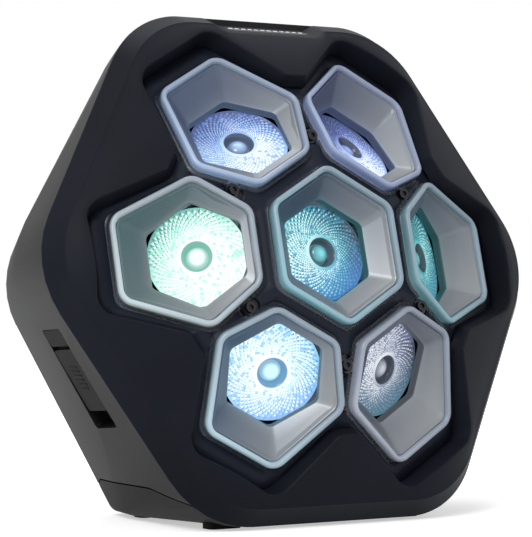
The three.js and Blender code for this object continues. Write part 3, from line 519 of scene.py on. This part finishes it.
def navy_look(name):
    """Gloss black-blue moulding."""
    look = Look(name, NAVY_DEEP, NAVY_ROUGHNESS, shine=0.3)
    drift = look.noise(NAVY_DRIFT)
    look.set("Base Color", look.mix(drift.step(*WIDE_BAND), NAVY_DEEP, NAVY_LIGHT))
    smooth = NAVY_ROUGHNESS - ROUGHNESS_DRIFT / 2
    return look.set("Roughness", drift * ROUGHNESS_DRIFT + smooth)


PRINT_WORN, PRINT_FRESH = (0.62, 0.64, 0.67), (0.82, 0.84, 0.86)
PRINT_WEAR = 900.0
PRINT_BAND = (0.3, 0.6)


def printed_look(name):
    """White print, a little worn."""
    look = Look(name, (0.78, 0.8, 0.82), 0.5)
    wear = look.noise(PRINT_WEAR).step(*PRINT_BAND)
    return look.set("Base Color", look.mix(wear, PRINT_WORN, PRINT_FRESH))


LIGHTS = {
    # core, middle, edge, dark and lower colours of the painted light, then right, up, along and level of the
    # painted bright side
    "left": (
        (1.0, 1.0, 1.0), (0.82, 1.0, 0.92), (0.28, 0.8, 0.6), (0.07, 0.25, 0.24), (0.7, 1.0, 0.9),
        (0.6, -0.8, 0.4, 0.72),
    ),
    "center": (
        (0.85, 1.0, 1.0), (0.11, 0.6, 0.64), (0.005, 0.17, 0.28), (0.003, 0.03, 0.06), (0.02, 0.2, 0.55),
        (-1.0, 0.1, 0.62, 0.44),
    ),
    "upper_left": (
        (0.95, 0.97, 1.0), (0.37, 0.6, 0.96), (0.11, 0.22, 0.6), (0.04, 0.07, 0.23), (0.5, 0.78, 1.0),
        (0.1, -1.0, 0.6, 0.45),
    ),
    "lower_left": (
        (1.0, 1.0, 1.0), (0.6, 0.94, 1.0), (0.18, 0.51, 0.86), (0.06, 0.15, 0.38), (0.28, 0.46, 0.9),
        (-0.5, 0.5, 0.3, 0.72),
    ),
    "upper_right": (
        (0.85, 0.92, 1.0), (0.27, 0.39, 0.84), (0.08, 0.12, 0.44), (0.02, 0.035, 0.14), (0.6, 0.78, 1.0),
        (0.1, -1.0, 0.7, 0.3),
    ),
    "right": (
        (0.5, 0.9, 0.88), (0.06, 0.42, 0.42), (0.015, 0.18, 0.22), (0.01, 0.05, 0.07), (0.03, 0.25, 0.35),
        (0.0, 0.6, 0.5, 0.32),
    ),
    "lower_right": (
        (0.9, 0.92, 0.95), (0.45, 0.48, 0.55), (0.1, 0.13, 0.24), (0.02, 0.025, 0.045), (0.05, 0.16, 0.22),
        (-0.7, 0.7, 0.6, 0.42),
    ),
}


def make_looks():
    looks = {
        "bezel": moulded("satin_charcoal", (0.0062, 0.0072, 0.0118), 0.5, depth=0.000008, sheen=0.07),
        "shell": moulded("satin_black", (0.0058, 0.006, 0.0066), 0.48, sheen=0.1),
        "cradle": moulded("matt_black", (0.0055, 0.0057, 0.0062), 0.55, sheen=0.08),
        "rubber": moulded("matt_rubber", (0.005, 0.0051, 0.0056), 0.75, 900.0, 0.00006, 0.15),
        "chassis": navy_look("gloss_navy"),
        "web": sheet_look("clear_sheet"),
        "board": moulded("white_mask", (0.7, 0.7, 0.66), 0.5),
        "circuit": moulded("green_mask", (0.01, 0.06, 0.03), 0.35),
        "battery": moulded("blue_wrap", (0.02, 0.07, 0.25), 0.3, 300.0),
        "sink": brushed_metal("bare_aluminium", (0.6, 0.61, 0.63), 0.38),
        "screw": brushed_metal("black_steel", (0.03, 0.03, 0.034), 0.45),
        "port": brushed_metal("nickel_plate", (0.5, 0.5, 0.53), 0.3),
        "strip": navy_look("gloss_black_strip"),
        "print": printed_look("white_print"),
    }
    for name, light in LIGHTS.items():
        middle, edge = light[1:3]
        looks["lens_" + name] = lens_look("lens_" + name, *light)
        looks["reflector_" + name] = reflector_look("reflector_" + name, middle, edge)
        looks["rim_" + name] = rim_look("rim_" + name, middle)
    return looks


looks = make_looks()


# Making a piece


def held_inside(point):
    """The point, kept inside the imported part's box."""
    return Vector([min(max(value, low), high) for value, low, high in zip(point, *cad_box)])


def piece(name, points, faces, look, body, smooth_angle, place=FACE):
    """A mesh piece, its points in millimetres, smooth below an angle or flat where that is None."""
    mesh = bpy.data.meshes.new(name)
    mesh.from_pydata([held_inside(place @ Vector(p)) for p in points], [], faces)
    mesh.validate()
    if smooth_angle:
        mesh.polygons.foreach_set("use_smooth", [True] * len(mesh.polygons))
        mesh.set_sharp_from_angle(angle=smooth_angle)
    made = bpy.data.objects.new(name, mesh)
    bpy.context.scene.collection.objects.link(made)
    mesh.materials.append(looks[look].material)
    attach(made, body)
    return made


def ring_faces(count, rings, closed=True):
    """Four-sided faces between rings of the same count of points, and back to the first if closed."""
    faces = []
    for r in range(rings if closed else rings - 1):
        low, high = r * count, (r + 1) % rings * count
        for i in range(count):
            n = (i + 1) % count
            faces.append((low + i, low + n, high + n, high + i))
    return faces


def shifted(faces, start):
    return [tuple(start + v for v in face) for face in faces]


def set_attribute(made, name, values, domain="POINT"):
    made.data.attributes.new(name, "FLOAT", domain).data.foreach_set("value", values)


def ways_round(points, ring, toward):
    """How far each point lies towards one side of its cell, from -1 to 1."""
    centre = sum(ring, Vector()) / len(ring)
    return [(p - centre).normalized().dot(toward) for p in points]


# Reflectors, lenses and the clear cover

# The side of each reflector and of each rim that is painted as lit, whatever the lamps do
REFLECTOR_TOWARD = Vector((0.8, -0.6, 0))
RIM_TOWARD = Vector((-0.8, -0.6, 0))
LIP_BEVEL = 0.1
LIP_DROP = 0.4
MOUTH_BEVEL = 0.5
STEP_RISE = 0.2
FUNNEL_ANGLE = math.radians(24)


def make_reflector(cell):
    """A funnel from the rim's mouth to the lens, with a soft lip and a short dark step below."""
    mouth = RIM_WIDTH + SEAT_GAP
    outside = APERTURE_RADIUS + WELL_WALL
    floor = APERTURE_WALL - SEAT_GAP
    top = cell.rim(mouth + MOUTH_BEVEL, WELL_SETBACK)
    bottom = cell.aperture(APERTURE_RADIUS + LIP_DROP, -STEP_RISE)
    middle = [a.lerp(b, 0.5) for a, b in zip(top, bottom)]
    # Each ring with its share of the way down to the lens
    rings = [
        (cell.rim(mouth + WELL_WALL, WELL_SETBACK + LIP_DROP), 0.0),
        (cell.rim(mouth, WELL_SETBACK + LIP_DROP), 0.0),
        (cell.rim(mouth + LIP_BEVEL, WELL_SETBACK + LIP_BEVEL), 0.0),
        (top, 0.0),
        (middle, 0.45),
        (bottom, 0.9),
        (cell.aperture(APERTURE_RADIUS, LIP_BEVEL), 0.95),
        (cell.aperture(APERTURE_RADIUS, floor), 1.0),
        (cell.aperture(outside, floor), 1.0),
        (cell.aperture(outside, WELL_WALL + LIP_DROP), 1.0),
    ]
    points = [p for ring, _ in rings for p in ring]
    faces = ring_faces(len(top), len(rings))
    name = "reflector_" + cell.name
    made = piece("funnel_" + cell.name, points, faces, name, "housing", FUNNEL_ANGLE)
    set_attribute(made, "depth", [depth for ring, depth in rings for _ in ring])
    # Painted lit side of the reflector, by each point's direction from the cell's middle
    ways = ways_round(points, top, REFLECTOR_TOWARD)
    set_attribute(made, "lit", [0.5 + 0.5 * way for way in ways])
    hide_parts(name)


LENS_RADIUS = 22
LENS_PIT = 6.6
LENS_DEPTH = 17
LENS_SIDES = 72
LENS_TURNS = 46
FACET_RISE = 0.42
# Painted light on each facet's four sides, in order round it, so that the facets look lit from one way
FACET_SHARES = (0.85, 0.5, 0.05, 0.3)
FACET_SPREAD = 0.25
FACETS_FROM = LENS_PIT + 1.4
FACETS_TO = LENS_RADIUS - 0.4
TIP_OUTWARD = 1.01
PLAIN_SHADE = (0.5, 0.2)
# Radius and height along two turned profiles: from the facets into the pit and up its dome, and from
# the facets over the flange and down the cone behind
PIT_PROFILE = (
    (FACETS_FROM + 0.9, -FACET_RISE - 0.1), (FACETS_FROM, -0.25), (LENS_PIT + 0.7, 0), (LENS_PIT, -0.15),
    (LENS_PIT * 0.9, -2.6), (LENS_PIT * 0.79, -4.2), (LENS_PIT * 0.74, -4.1), (LENS_PIT * 0.71, -3.4),
    (LENS_PIT * 0.64, -2.6), (LENS_PIT * 0.52, -1.85), (LENS_PIT * 0.36, -1.35), (LENS_PIT * 0.18, -1.1),
    (0.05, -1.05),
)
FLANGE_PROFILE = (
    (FACETS_FROM + 0.4, -FACET_RISE - 0.05), (LENS_RADIUS - 0.35, -FACET_RISE - 0.05),
    (LENS_RADIUS - 0.2, -0.15), (LENS_RADIUS, -0.3), (LENS_RADIUS, -2.2), (LENS_RADIUS - 1.1, -2.2),
    (17.0, -10.0), (9.0, -LENS_DEPTH + 0.1), (0.1, -LENS_DEPTH + 0.1),
)


def make_lens(cell, seed):
    """A collimator: crossing spirals of pyramid facets round a central pit, over a smooth cone."""
    chance = random.Random(seed)
    step = math.pi / LENS_TURNS
    radii = [FACETS_FROM]
    while radii[-1] * (1 + step) < FACETS_TO:
        radii.append(radii[-1] * (1 + step))
    points, faces, shades = [], [], []

    def polar(radius, turn, z):
        points.append((radius * math.cos(turn), radius * math.sin(turn), z))
        return len(points) - 1

    for k in range(1, len(radii) - 1):
        for j in range(LENS_TURNS):
            turn = (2 * j + k % 2) * step
            corners = [
                polar(radii[k - 1], turn, -FACET_RISE),
                polar(radii[k], turn - step, -FACET_RISE),
                polar(radii[k + 1], turn, -FACET_RISE),
                polar(radii[k], turn + step, -FACET_RISE),
            ]
            tip = polar(radii[k] * TIP_OUTWARD, turn, 0)
            hue = chance.random()
            for share, a, b in zip(FACET_SHARES, corners, corners[1:] + corners[:1]):
                faces.append((a, b, tip))
                # each side's painted share of light, with a random spread, and the facet's random hue
                shades.append((share + FACET_SPREAD * chance.random(), hue))
    for profile in (PIT_PROFILE, FLANGE_PROFILE):
        start = len(points)
        for radius, z in profile:
            for i in range(LENS_SIDES):
                polar(radius, 2 * math.pi * i / LENS_SIDES, z)
        walls = shifted(ring_faces(LENS_SIDES, len(profile), closed=False), start)
        faces += walls
        shades += [PLAIN_SHADE] * len(walls)
    name = "lens_" + cell.name
    place = FACE @ cell.lens_place()
    made = piece("facets_" + cell.name, points, faces, name, "housing", None, place)
    made.data.polygons.foreach_set("use_smooth", [len(face) == 4 for face in faces])
    lie = Matrix.Rotation(cell.turn, 3, "Z")
    flat = [lie @ Vector(p) / LENS_RADIUS for p in points]
    set_attribute(made, "radius", [math.hypot(p[0], p[1]) / LENS_RADIUS for p in points])
    set_attribute(made, "sparkle", [sparkle for sparkle, _ in shades], "FACE")
    set_attribute(made, "hue", [hue for _, hue in shades], "FACE")
    set_attribute(made, "across", [p.x for p in flat])
    set_attribute(made, "rise", [p.y for p in flat])
    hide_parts(name)


RIM_PROFILE = (
    # inset from the rim's outline and depth below its crest
    (-1.5, 5.0), (-0.7, 4.75), (-0.2, 4.2), (0.0, 3.4), (0.0, 1.5), (0.12, 0.8), (0.5, 0.25), (1.1, 0.0),
    (1.5, 0.0), (2.1, 0.2), (2.5, 0.7), (2.6, 1.4), (2.6, 6.2), (-1.5, 6.2),
)
CREST_FROM = 2
CREST_FADE = 4.5
RIM_LEAST_LIT = 0.25
RIM_ANGLE = math.radians(50)


def make_rim(cell):
    rings = [cell.rim(inset, depth) for inset, depth in RIM_PROFILE]
    points = [p for ring in rings for p in ring]
    faces = [face[::-1] for face in ring_faces(len(rings[0]), len(rings))]
    name = "rim_" + cell.name
    made = piece(name, points, faces, name, "housing", RIM_ANGLE)
    crest = [1 if inset > CREST_FROM else max(1 - depth / CREST_FADE, 0) for inset, depth in RIM_PROFILE]
    set_attribute(made, "crest", [level for level, ring in zip(crest, rings) for _ in ring])
    # Painted lit side of the rim: most painted light towards RIM_TOWARD, RIM_LEAST_LIT on the far side
    ways = ways_round(points, rings[0], RIM_TOWARD)
    lit = [RIM_LEAST_LIT + (1 - RIM_LEAST_LIT) * max(way, 0) for way in ways]
    set_attribute(made, "lit", lit)


COVER_INSET = 1.6
COVER_SHEET = 1.4
SHEET_TUCK = 0.8
POST_REACH = 53
POST_HOLE = 4.8
CREASE_ANGLE = math.radians(6)
JOIN = 1e-5


def make_sheet():
    """The clear sheet between the rims, bent along the same creases as the dome."""
    loops = [recess_outline(COVER_INSET)]
    for cell in CELLS:
        loops.append([Vector((p.x, p.y)) for p in reversed(cell.rim(SHEET_TUCK, RIM_HEIGHT))])
    for i in range(6):
        angle = (i + 0.5) * SECTOR
        centre = Vector((math.cos(angle), math.sin(angle))) * POST_REACH
        loops.append(circle(centre.x, centre.y, POST_HOLE)[::-1])
    creases = []
    for reach in (FLAT_REACH, INNER_REACH):
        creases.append([Vector(c[:2]) for c in hexagon(reach / math.cos(SECTOR / 2), 0)])
    points, edges = [], []
    for loop in loops + creases:
        start = len(points)
        points += loop
        edges += [(start + i, start + (i + 1) % len(loop)) for i in range(len(loop))]
    flat, _, triangles, *_ = delaunay_2d_cdt(points, edges, [], 0, JOIN)
    kept = [t for t in triangles if inside_sheet(sum((flat[v] for v in t), Vector((0, 0))) / 3, loops)]
    drop = RIM_HEIGHT / math.cos(RIM_TILT)
    top = [Vector((p.x, p.y, dome_height(p.x, p.y) - drop)) for p in flat]
    faces = [tuple(t) for t in kept]
    sheet = piece("clear_sheet", top, faces, "web", "housing", CREASE_ANGLE)
    thick = sheet.modifiers.new("thickness", "SOLIDIFY")
    thick.thickness = COVER_SHEET * MM
    thick.offset = -1
    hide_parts("front_cover")


def holds(loop, point):
    inside = False
    for (x1, y1), (x2, y2) in zip(loop, loop[1:] + loop[:1]):
        if (y1 > point.y) != (y2 > point.y) and point.x < (x2 - x1) * (point.y - y1) / (y2 - y1) + x1:
            inside = not inside
    return inside


def inside_sheet(point, loops):
    return holds(loops[0], point) and not any(holds(loop, point) for loop in loops[1:])


# The bezel, with its outer edge and the edge of its opening rounded

FACE_APOTHEM = 111.8
FACE_SETBACK = 28
FACE_CORNER = 41
FACE_CROWN = 14.5
SEAM_APOTHEM = 117.4
SEAM_LEVEL = -37.5
SEAM_CORNER = 44
SEAM_BAND = 0.3
EDGE_ROUND = 1.2
EDGE_MIDDLE = 0.35
BEZEL_WALL = 2.6
BEZEL_ANGLE = math.radians(32)
RECESS_BEVEL = 4
LIP_OUTSIDE = -1
# Inset and drop of the rings that round the edge of the opening
LIP_RINGS = ((-0.3, 0.1), (0.15, 0.55), (0.5, 1.3))
NOTCH_HALF = 24
NOTCH_END_RUN = 9
NOTCH_FRONT_DROP = 3.6
NOTCH_REAR_DROP = 2.8
NOTCH_SUNK = 0.12
NOTCH_REACH = 5.4
# Parts that the straight sides of the opening's outline are divided into, in their order
SIDE_PARTS = (16, 14, 4, 14)

NOTCH_FRONT = FACE_APOTHEM - NOTCH_FRONT_DROP
NOTCH_REAR = SEAM_APOTHEM - NOTCH_REAR_DROP
NOTCH_PITCH = math.atan2(NOTCH_REAR - NOTCH_FRONT, -FACE_SETBACK - SEAM_LEVEL)


def hexagon_reach(point, apothem, corner):
    """How far a rounded hexagon reaches in the direction of a point."""
    angle = math.atan2(point.y, point.x)
    off = abs(angle - round(angle / SECTOR) * SECTOR)
    hub = (apothem - corner) / math.cos(SECTOR / 2)
    if SECTOR / 2 - off <= math.atan2(hub * math.sin(SECTOR / 2), apothem):
        return apothem / math.cos(SECTOR / 2 - off)
    return hub * math.cos(off) + math.sqrt(corner ** 2 - (hub * math.sin(off)) ** 2)


def face_level(point):
    """Height of the bezel's crowned face."""
    inside = hexagon_reach(point, FACE_APOTHEM, FACE_CORNER) - point.length
    return -FACE_SETBACK + FACE_CROWN * min(inside / (FACE_APOTHEM - WEB_NOTCH_REACH), 1)


def cover_level(point):
    """Height at which the bezel's recess wall meets the clear cover."""
    return dome_height(point.x, point.y) - RIM_HEIGHT / math.cos(RIM_TILT) + SEAT_GAP


def stations(outline):
    """Points of an outline, with its straight sides divided so that the bezel can curve along them."""
    points = []
    for i, here in enumerate(outline):
        straight = i % (CORNER_STEPS + 1) == CORNER_STEPS
        parts = SIDE_PARTS[i // (CORNER_STEPS + 1) % len(SIDE_PARTS)] if straight else 1
        after = outline[(i + 1) % len(outline)]
        points += [here.lerp(after, part / parts) for part in range(parts)]
    return points


def below_notch(point, wall):
    """Keeps a point of the bezel under the slope of the notch in its top edge."""
    slope = NOTCH_FRONT - (point.z + FACE_SETBACK) * math.tan(NOTCH_PITCH)
    past = max(abs(point.x) - NOTCH_HALF, 0)
    ends = past * NOTCH_FRONT_DROP / NOTCH_END_RUN / math.cos(NOTCH_PITCH)
    return Vector((point.x, min(point.y, slope + ends - wall - NOTCH_SUNK), point.z))


def make_bezel():
    """The front frame, lofted from its seam over its face, down its opening and back inside."""
    ways = stations(recess_outline(0))

    def outer(apothem, corner, level):
        reaches = [hexagon_reach(p, apothem, corner) for p in ways]
        return [(p * (reach / p.length)).to_3d() + Vector((0, 0, level)) for p, reach in zip(ways, reaches)]

    def opening(inset, level, lower=0.0):
        return [Vector((p.x, p.y, level(p) - lower)) for p in stations(recess_outline(inset))]

    edge = outer(FACE_APOTHEM - EDGE_ROUND, FACE_CORNER - EDGE_ROUND, -FACE_SETBACK)
    lip = opening(LIP_OUTSIDE, face_level)
    run = []
    for a, b in zip(edge, lip):
        flat = a.to_2d().lerp(b.to_2d(), min(NOTCH_REACH / (a - b).length, 0.5))
        run.append(Vector((flat.x, flat.y, face_level(flat))))
    shown = [
        outer(SEAM_APOTHEM, SEAM_CORNER, SEAM_LEVEL),
        outer(SEAM_APOTHEM, SEAM_CORNER, SEAM_LEVEL + SEAM_BAND),
        outer(FACE_APOTHEM, FACE_CORNER, -FACE_SETBACK - EDGE_ROUND),
        outer(FACE_APOTHEM - EDGE_MIDDLE, FACE_CORNER, -FACE_SETBACK - EDGE_MIDDLE),
        edge,
        run,
        lip,
        *[opening(inset, face_level, lower) for inset, lower in LIP_RINGS],
        opening(RECESS_BEVEL, cover_level),
    ]
    inner_corner = SEAM_CORNER - BEZEL_WALL
    hidden = [
        opening(RECESS_BEVEL - BEZEL_WALL, cover_level),
        opening(-BEZEL_WALL, face_level, BEZEL_WALL),
        outer(SEAM_APOTHEM - 2 * BEZEL_WALL - NOTCH_REACH, inner_corner, -FACE_SETBACK - BEZEL_WALL),
        outer(SEAM_APOTHEM - BEZEL_WALL, inner_corner, SEAM_LEVEL),
    ]
    points = [below_notch(p, 0) for ring in shown for p in ring]
    points += [below_notch(p, BEZEL_WALL) for ring in hidden for p in ring]
    faces = ring_faces(len(ways), len(shown) + len(hidden))
    made = piece("bezel_frame", points, faces, "bezel", "housing", BEZEL_ANGLE)
    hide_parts("front_bezel")


# CAD nodes that stay: their looks, and shading that is smooth except at real edges

NODE_LOOKS = (
    # start of the node's name, look
    ("front_bezel", "bezel"), ("rear_shell", "shell"), ("base_cradle", "cradle"),
    ("control_panel", "cradle"), ("top_strip", "strip"), ("chassis_panel", "chassis"),
    ("heat_sink", "sink"), ("led_board", "board"), ("cover_screw", "screw"), ("housing_screw", "screw"),
    ("foot_pad", "rubber"), ("control_board", "circuit"), ("port_board", "circuit"),
    ("battery_pack", "battery"), ("usb_port", "port"), ("flap_anchor", "rubber"), ("port_flap", "rubber"),
    ("power_button", "rubber"), ("color_button", "rubber"), ("pattern_button", "rubber"),
)
EDGE_ANGLE = math.radians(26)


def smooth_group():
    """Geometry nodes that weld the facets and shade them smooth below an edge angle."""
    group = bpy.data.node_groups.new("soft_shading", "GeometryNodeTree")
    for way in ("INPUT", "OUTPUT"):
        group.interface.new_socket("Geometry", in_out=way, socket_type="NodeSocketGeometry")
    add, link = group.nodes.new, group.links.new
    start, end = add("NodeGroupInput"), add("NodeGroupOutput")
    weld = add("GeometryNodeMergeByDistance")
    weld.inputs["Distance"].default_value = JOIN
    faces = add("GeometryNodeSetShadeSmooth")
    edges = add("GeometryNodeSetShadeSmooth")
    edges.domain = "EDGE"
    angle = add("GeometryNodeInputMeshEdgeAngle")
    below = add("FunctionNodeCompare")
    below.operation = "LESS_EQUAL"
    below.inputs["B"].default_value = EDGE_ANGLE
    link(start.outputs[0], weld.inputs["Geometry"])
    link(weld.outputs[0], faces.inputs["Geometry"])
    link(faces.outputs[0], edges.inputs["Geometry"])
    link(angle.outputs[0], below.inputs["A"])
    link(below.outputs[0], edges.inputs["Shade Smooth"])
    link(edges.outputs[0], end.inputs[0])
    return group


def dress_nodes():
    group = smooth_group()
    for name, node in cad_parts.items():
        for prefix, look in NODE_LOOKS:
            if name.startswith(prefix):
                node.data.materials.clear()
                node.data.materials.append(looks[look].material)
        soft = node.modifiers.new("soft_shading", "NODES")
        soft.node_group = group


# Marks: plain bars on the top strip, printed signs over the buttons and grip ribs on the flap

MARK_ROOT = -0.2


def rounded_bar(length, width, rise, radius):
    """A block with rounded corners and a narrow bevel round its top, rooted in what carries it."""
    corners = [(-1, -1), (1, -1), (1, 1), (-1, 1)]
    bevel = min(radius, rise - MARK_ROOT) / 2

    def ring(inset, z):
        outline = [(sx * (length / 2 - inset), sy * (width / 2 - inset), radius) for sx, sy in corners]
        return [Vector((p.x, p.y, z)) for p in round_outline(outline, 3)]

    rings = [ring(0, MARK_ROOT), ring(0, rise - bevel), ring(bevel, rise)]
    count = len(rings[0])
    points = [p for one in rings for p in one]
    faces = ring_faces(count, 3, closed=False)
    faces += [tuple(range(count))[::-1], tuple(range(2 * count, 3 * count))]
    return points, faces


BAR_COUNT = 12
BAR_PITCH = 3.5
BAR_LENGTH = 2.4
BAR_WIDTH = 1.3
BAR_RISE = 0.08
BAR_CORNER = 0.3


def make_strip_bars():
    """A row of plain printed bars along the sloping top strip."""
    front = Vector((0, NOTCH_FRONT, -FACE_SETBACK))
    rear = Vector((0, NOTCH_REAR, SEAM_LEVEL))
    pitch = math.atan2(rear.y - front.y, front.z - rear.z)
    turned = Matrix.Rotation(pitch - math.pi / 2, 4, "X")
    place = FACE @ Matrix.Translation((front + rear) / 2) @ turned
    for i in range(BAR_COUNT):
        points, faces = rounded_bar(BAR_LENGTH, BAR_WIDTH, BAR_RISE, BAR_CORNER)
        shift = Vector(((i - (BAR_COUNT - 1) / 2) * BAR_PITCH, 0, 0))
        name = f"strip_bar_{i + 1}"
        piece(name, [p + shift for p in points], faces, "print", "housing", None, place)


PANEL_FACE = 55.4
SIGN_HEIGHT = 148.4
SIGN_PITCH = 22
SIGN_RISE = 0.12


def ring_sign(inner, outer):
    levels = ((inner, MARK_ROOT), (outer, MARK_ROOT), (outer, SIGN_RISE), (inner, SIGN_RISE))
    rings = [[Vector((p.x, p.y, z)) for p in circle(0, 0, radius)] for radius, z in levels]
    return [p for ring in rings for p in ring], ring_faces(len(rings[0]), len(rings))


def make_signs():
    """Small printed signs over the three buttons of the rear panel."""
    turned = Matrix(((-1, 0, 0), (0, 0, 1), (0, 1, 0))).to_4x4()
    bar = rounded_bar(0.5, 2.2, SIGN_RISE, 0.2)
    dot = rounded_bar(1.1, 1.1, SIGN_RISE, 0.5)
    signs = {
        "power": ((ring_sign(0.95, 1.35), 0, 0), (bar, 0, 1.1)),
        "color": ((dot, -1.8, 0), (dot, 0, 0), (dot, 1.8, 0)),
        "pattern": ((bar, -1.2, 0), (bar, 0, 0), (bar, 1.2, 0)),
    }
    for i, (name, marks) in enumerate(signs.items()):
        spot = Matrix.Translation(Vector(((1 - i) * SIGN_PITCH, PANEL_FACE, SIGN_HEIGHT)))
        place = Matrix.Scale(MM, 4) @ spot @ turned
        points, faces = [], []
        for (shape, around), x, y in marks:
            faces += shifted(around, len(points))
            points += [p + Vector((x, y, 0)) for p in shape]
        piece(f"sign_{name}", points, faces, "print", "housing", None, place)


FLAP_HINGE = Vector((-111.18, 3.10, 78.11))
FLAP_ALONG = Vector((0.5032, -0.1128, -0.8568))
FLAP_OUT = Vector((-0.8555, 0.0748, -0.5123))
RIB_COUNT = 6
RIB_PITCH = 2.2
RIB_SPAN = 9
RIB_WIDTH = 0.9
RIB_RISE = 0.35
RIB_CORNER = 0.3
RIB_MIDDLE = 0.46


def make_flap_ribs():
    """Small grip ribs across the flap, on the face that looks outwards."""
    across = FLAP_OUT.cross(FLAP_ALONG)
    turned = Matrix((FLAP_ALONG, across, FLAP_OUT)).transposed().to_4x4()
    place = Matrix.Scale(MM, 4) @ Matrix.Translation(FLAP_HINGE) @ turned
    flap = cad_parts["port_flap"]
    local = [place.inverted() @ v.co for v in flap.data.vertices]
    top = max(p.z for p in local)
    start, end = min(p.x for p in local), max(p.x for p in local)
    low, high = min(p.y for p in local), max(p.y for p in local)
    for i in range(RIB_COUNT):
        points, faces = rounded_bar(RIB_WIDTH, RIB_SPAN, RIB_RISE, RIB_CORNER)
        along = start + (end - start) * RIB_MIDDLE + (i - (RIB_COUNT - 1) / 2) * RIB_PITCH
        shift = Vector((along, (low + high) / 2, top))
        name = f"flap_rib_{i + 1}"
        piece(name, [p + shift for p in points], faces, "rubber", "flap", None, place)


# Studio

FLOOR_SIZE = 8
FLOOR_WHITE_FROM = (0.14, 0.32)
WORLD_LIGHT = 0.36
LAMPS_LOOK_AT = Vector((0, 0, 0.115))
LAMPS = (
    # name, place, power and size
    ("key", (-1.1, -0.9, 1.2), 24, 0.8),
    ("fill", (1.2, -1.4, 0.8), 4, 1.0),
    ("top", (0.1, 0.4, 1.6), 10, 1.0),
)
CAMERA_AT = Vector((-597.42, -857.53, -15.25)) + FACE_ORIGIN
CAMERA_TOWARD = Vector((0.5456, 0.83804, 0.00403))
CAMERA_SENSOR = 36
# Focal length and longer side of the frame, in pixels
CAMERA_LENS = CAMERA_SENSOR * 2369 / 537


def make_floor():
    """The floor is seen as plain white away from the part, and keeps the part's shadow near it."""
    bpy.ops.mesh.primitive_plane_add(size=FLOOR_SIZE, location=(0, 0, 0))
    floor = bpy.context.object
    floor.name = "studio_floor"
    look = Look("pale_floor", (0.8, 0.8, 0.8), 0.7, shine=0.1)
    floor.data.materials.append(look.material)
    seen = look.seen()
    reach = look.node("ShaderNodeVectorMath", {"operation": "LENGTH"}, look.place())
    white = look.mix(reach.step(*FLOOR_WHITE_FROM), GREY, WHITE)
    look.set("Emission Color", look.mix(seen, BLACK, white))
    look.set("Emission Strength", 1.0)


def make_world():
    """Soft light all round, and plain white where the background is seen."""
    world = bpy.data.worlds.new("studio")
    bpy.context.scene.world = world
    world.use_nodes = True
    nodes = Nodes(world.node_tree)
    nodes.tree.nodes.clear()
    soft = nodes.node("ShaderNodeBackground", {}, WHITE, WORLD_LIGHT)
    white = nodes.node("ShaderNodeBackground", {}, WHITE, 1.0)
    light = nodes.node("ShaderNodeMixShader", {}, nodes.seen(), soft, white)
    nodes.node("ShaderNodeOutputWorld", {}, light)


def add_lamp(name, location, power, size):
    lamp = bpy.data.lights.new(name, "AREA")
    lamp.energy = power
    lamp.size = size
    made = bpy.data.objects.new(name, lamp)
    bpy.context.scene.collection.objects.link(made)
    made.location = location
    made.rotation_euler = (LAMPS_LOOK_AT - Vector(location)).to_track_quat("-Z", "Y").to_euler()


def make_camera():
    data = bpy.data.cameras.new("photo_camera")
    data.lens = CAMERA_LENS
    data.sensor_width = CAMERA_SENSOR
    camera = bpy.data.objects.new("photo_camera", data)
    bpy.context.scene.collection.objects.link(camera)
    camera.location = CAMERA_AT * MM
    camera.rotation_euler = CAMERA_TOWARD.to_track_quat("-Z", "Y").to_euler()
    bpy.context.scene.camera = camera


dress_nodes()
for number, cell in enumerate(CELLS):
    make_reflector(cell)
    make_lens(cell, number)
for cell in CELLS:
    make_rim(cell)
make_sheet()
make_bezel()
make_signs()
make_strip_bars()
make_flap_ribs()
make_floor()
make_world()
make_camera()
for lamp in LAMPS:
    add_lamp(*lamp)
bpy.context.scene.view_settings.view_transform = "Standard"
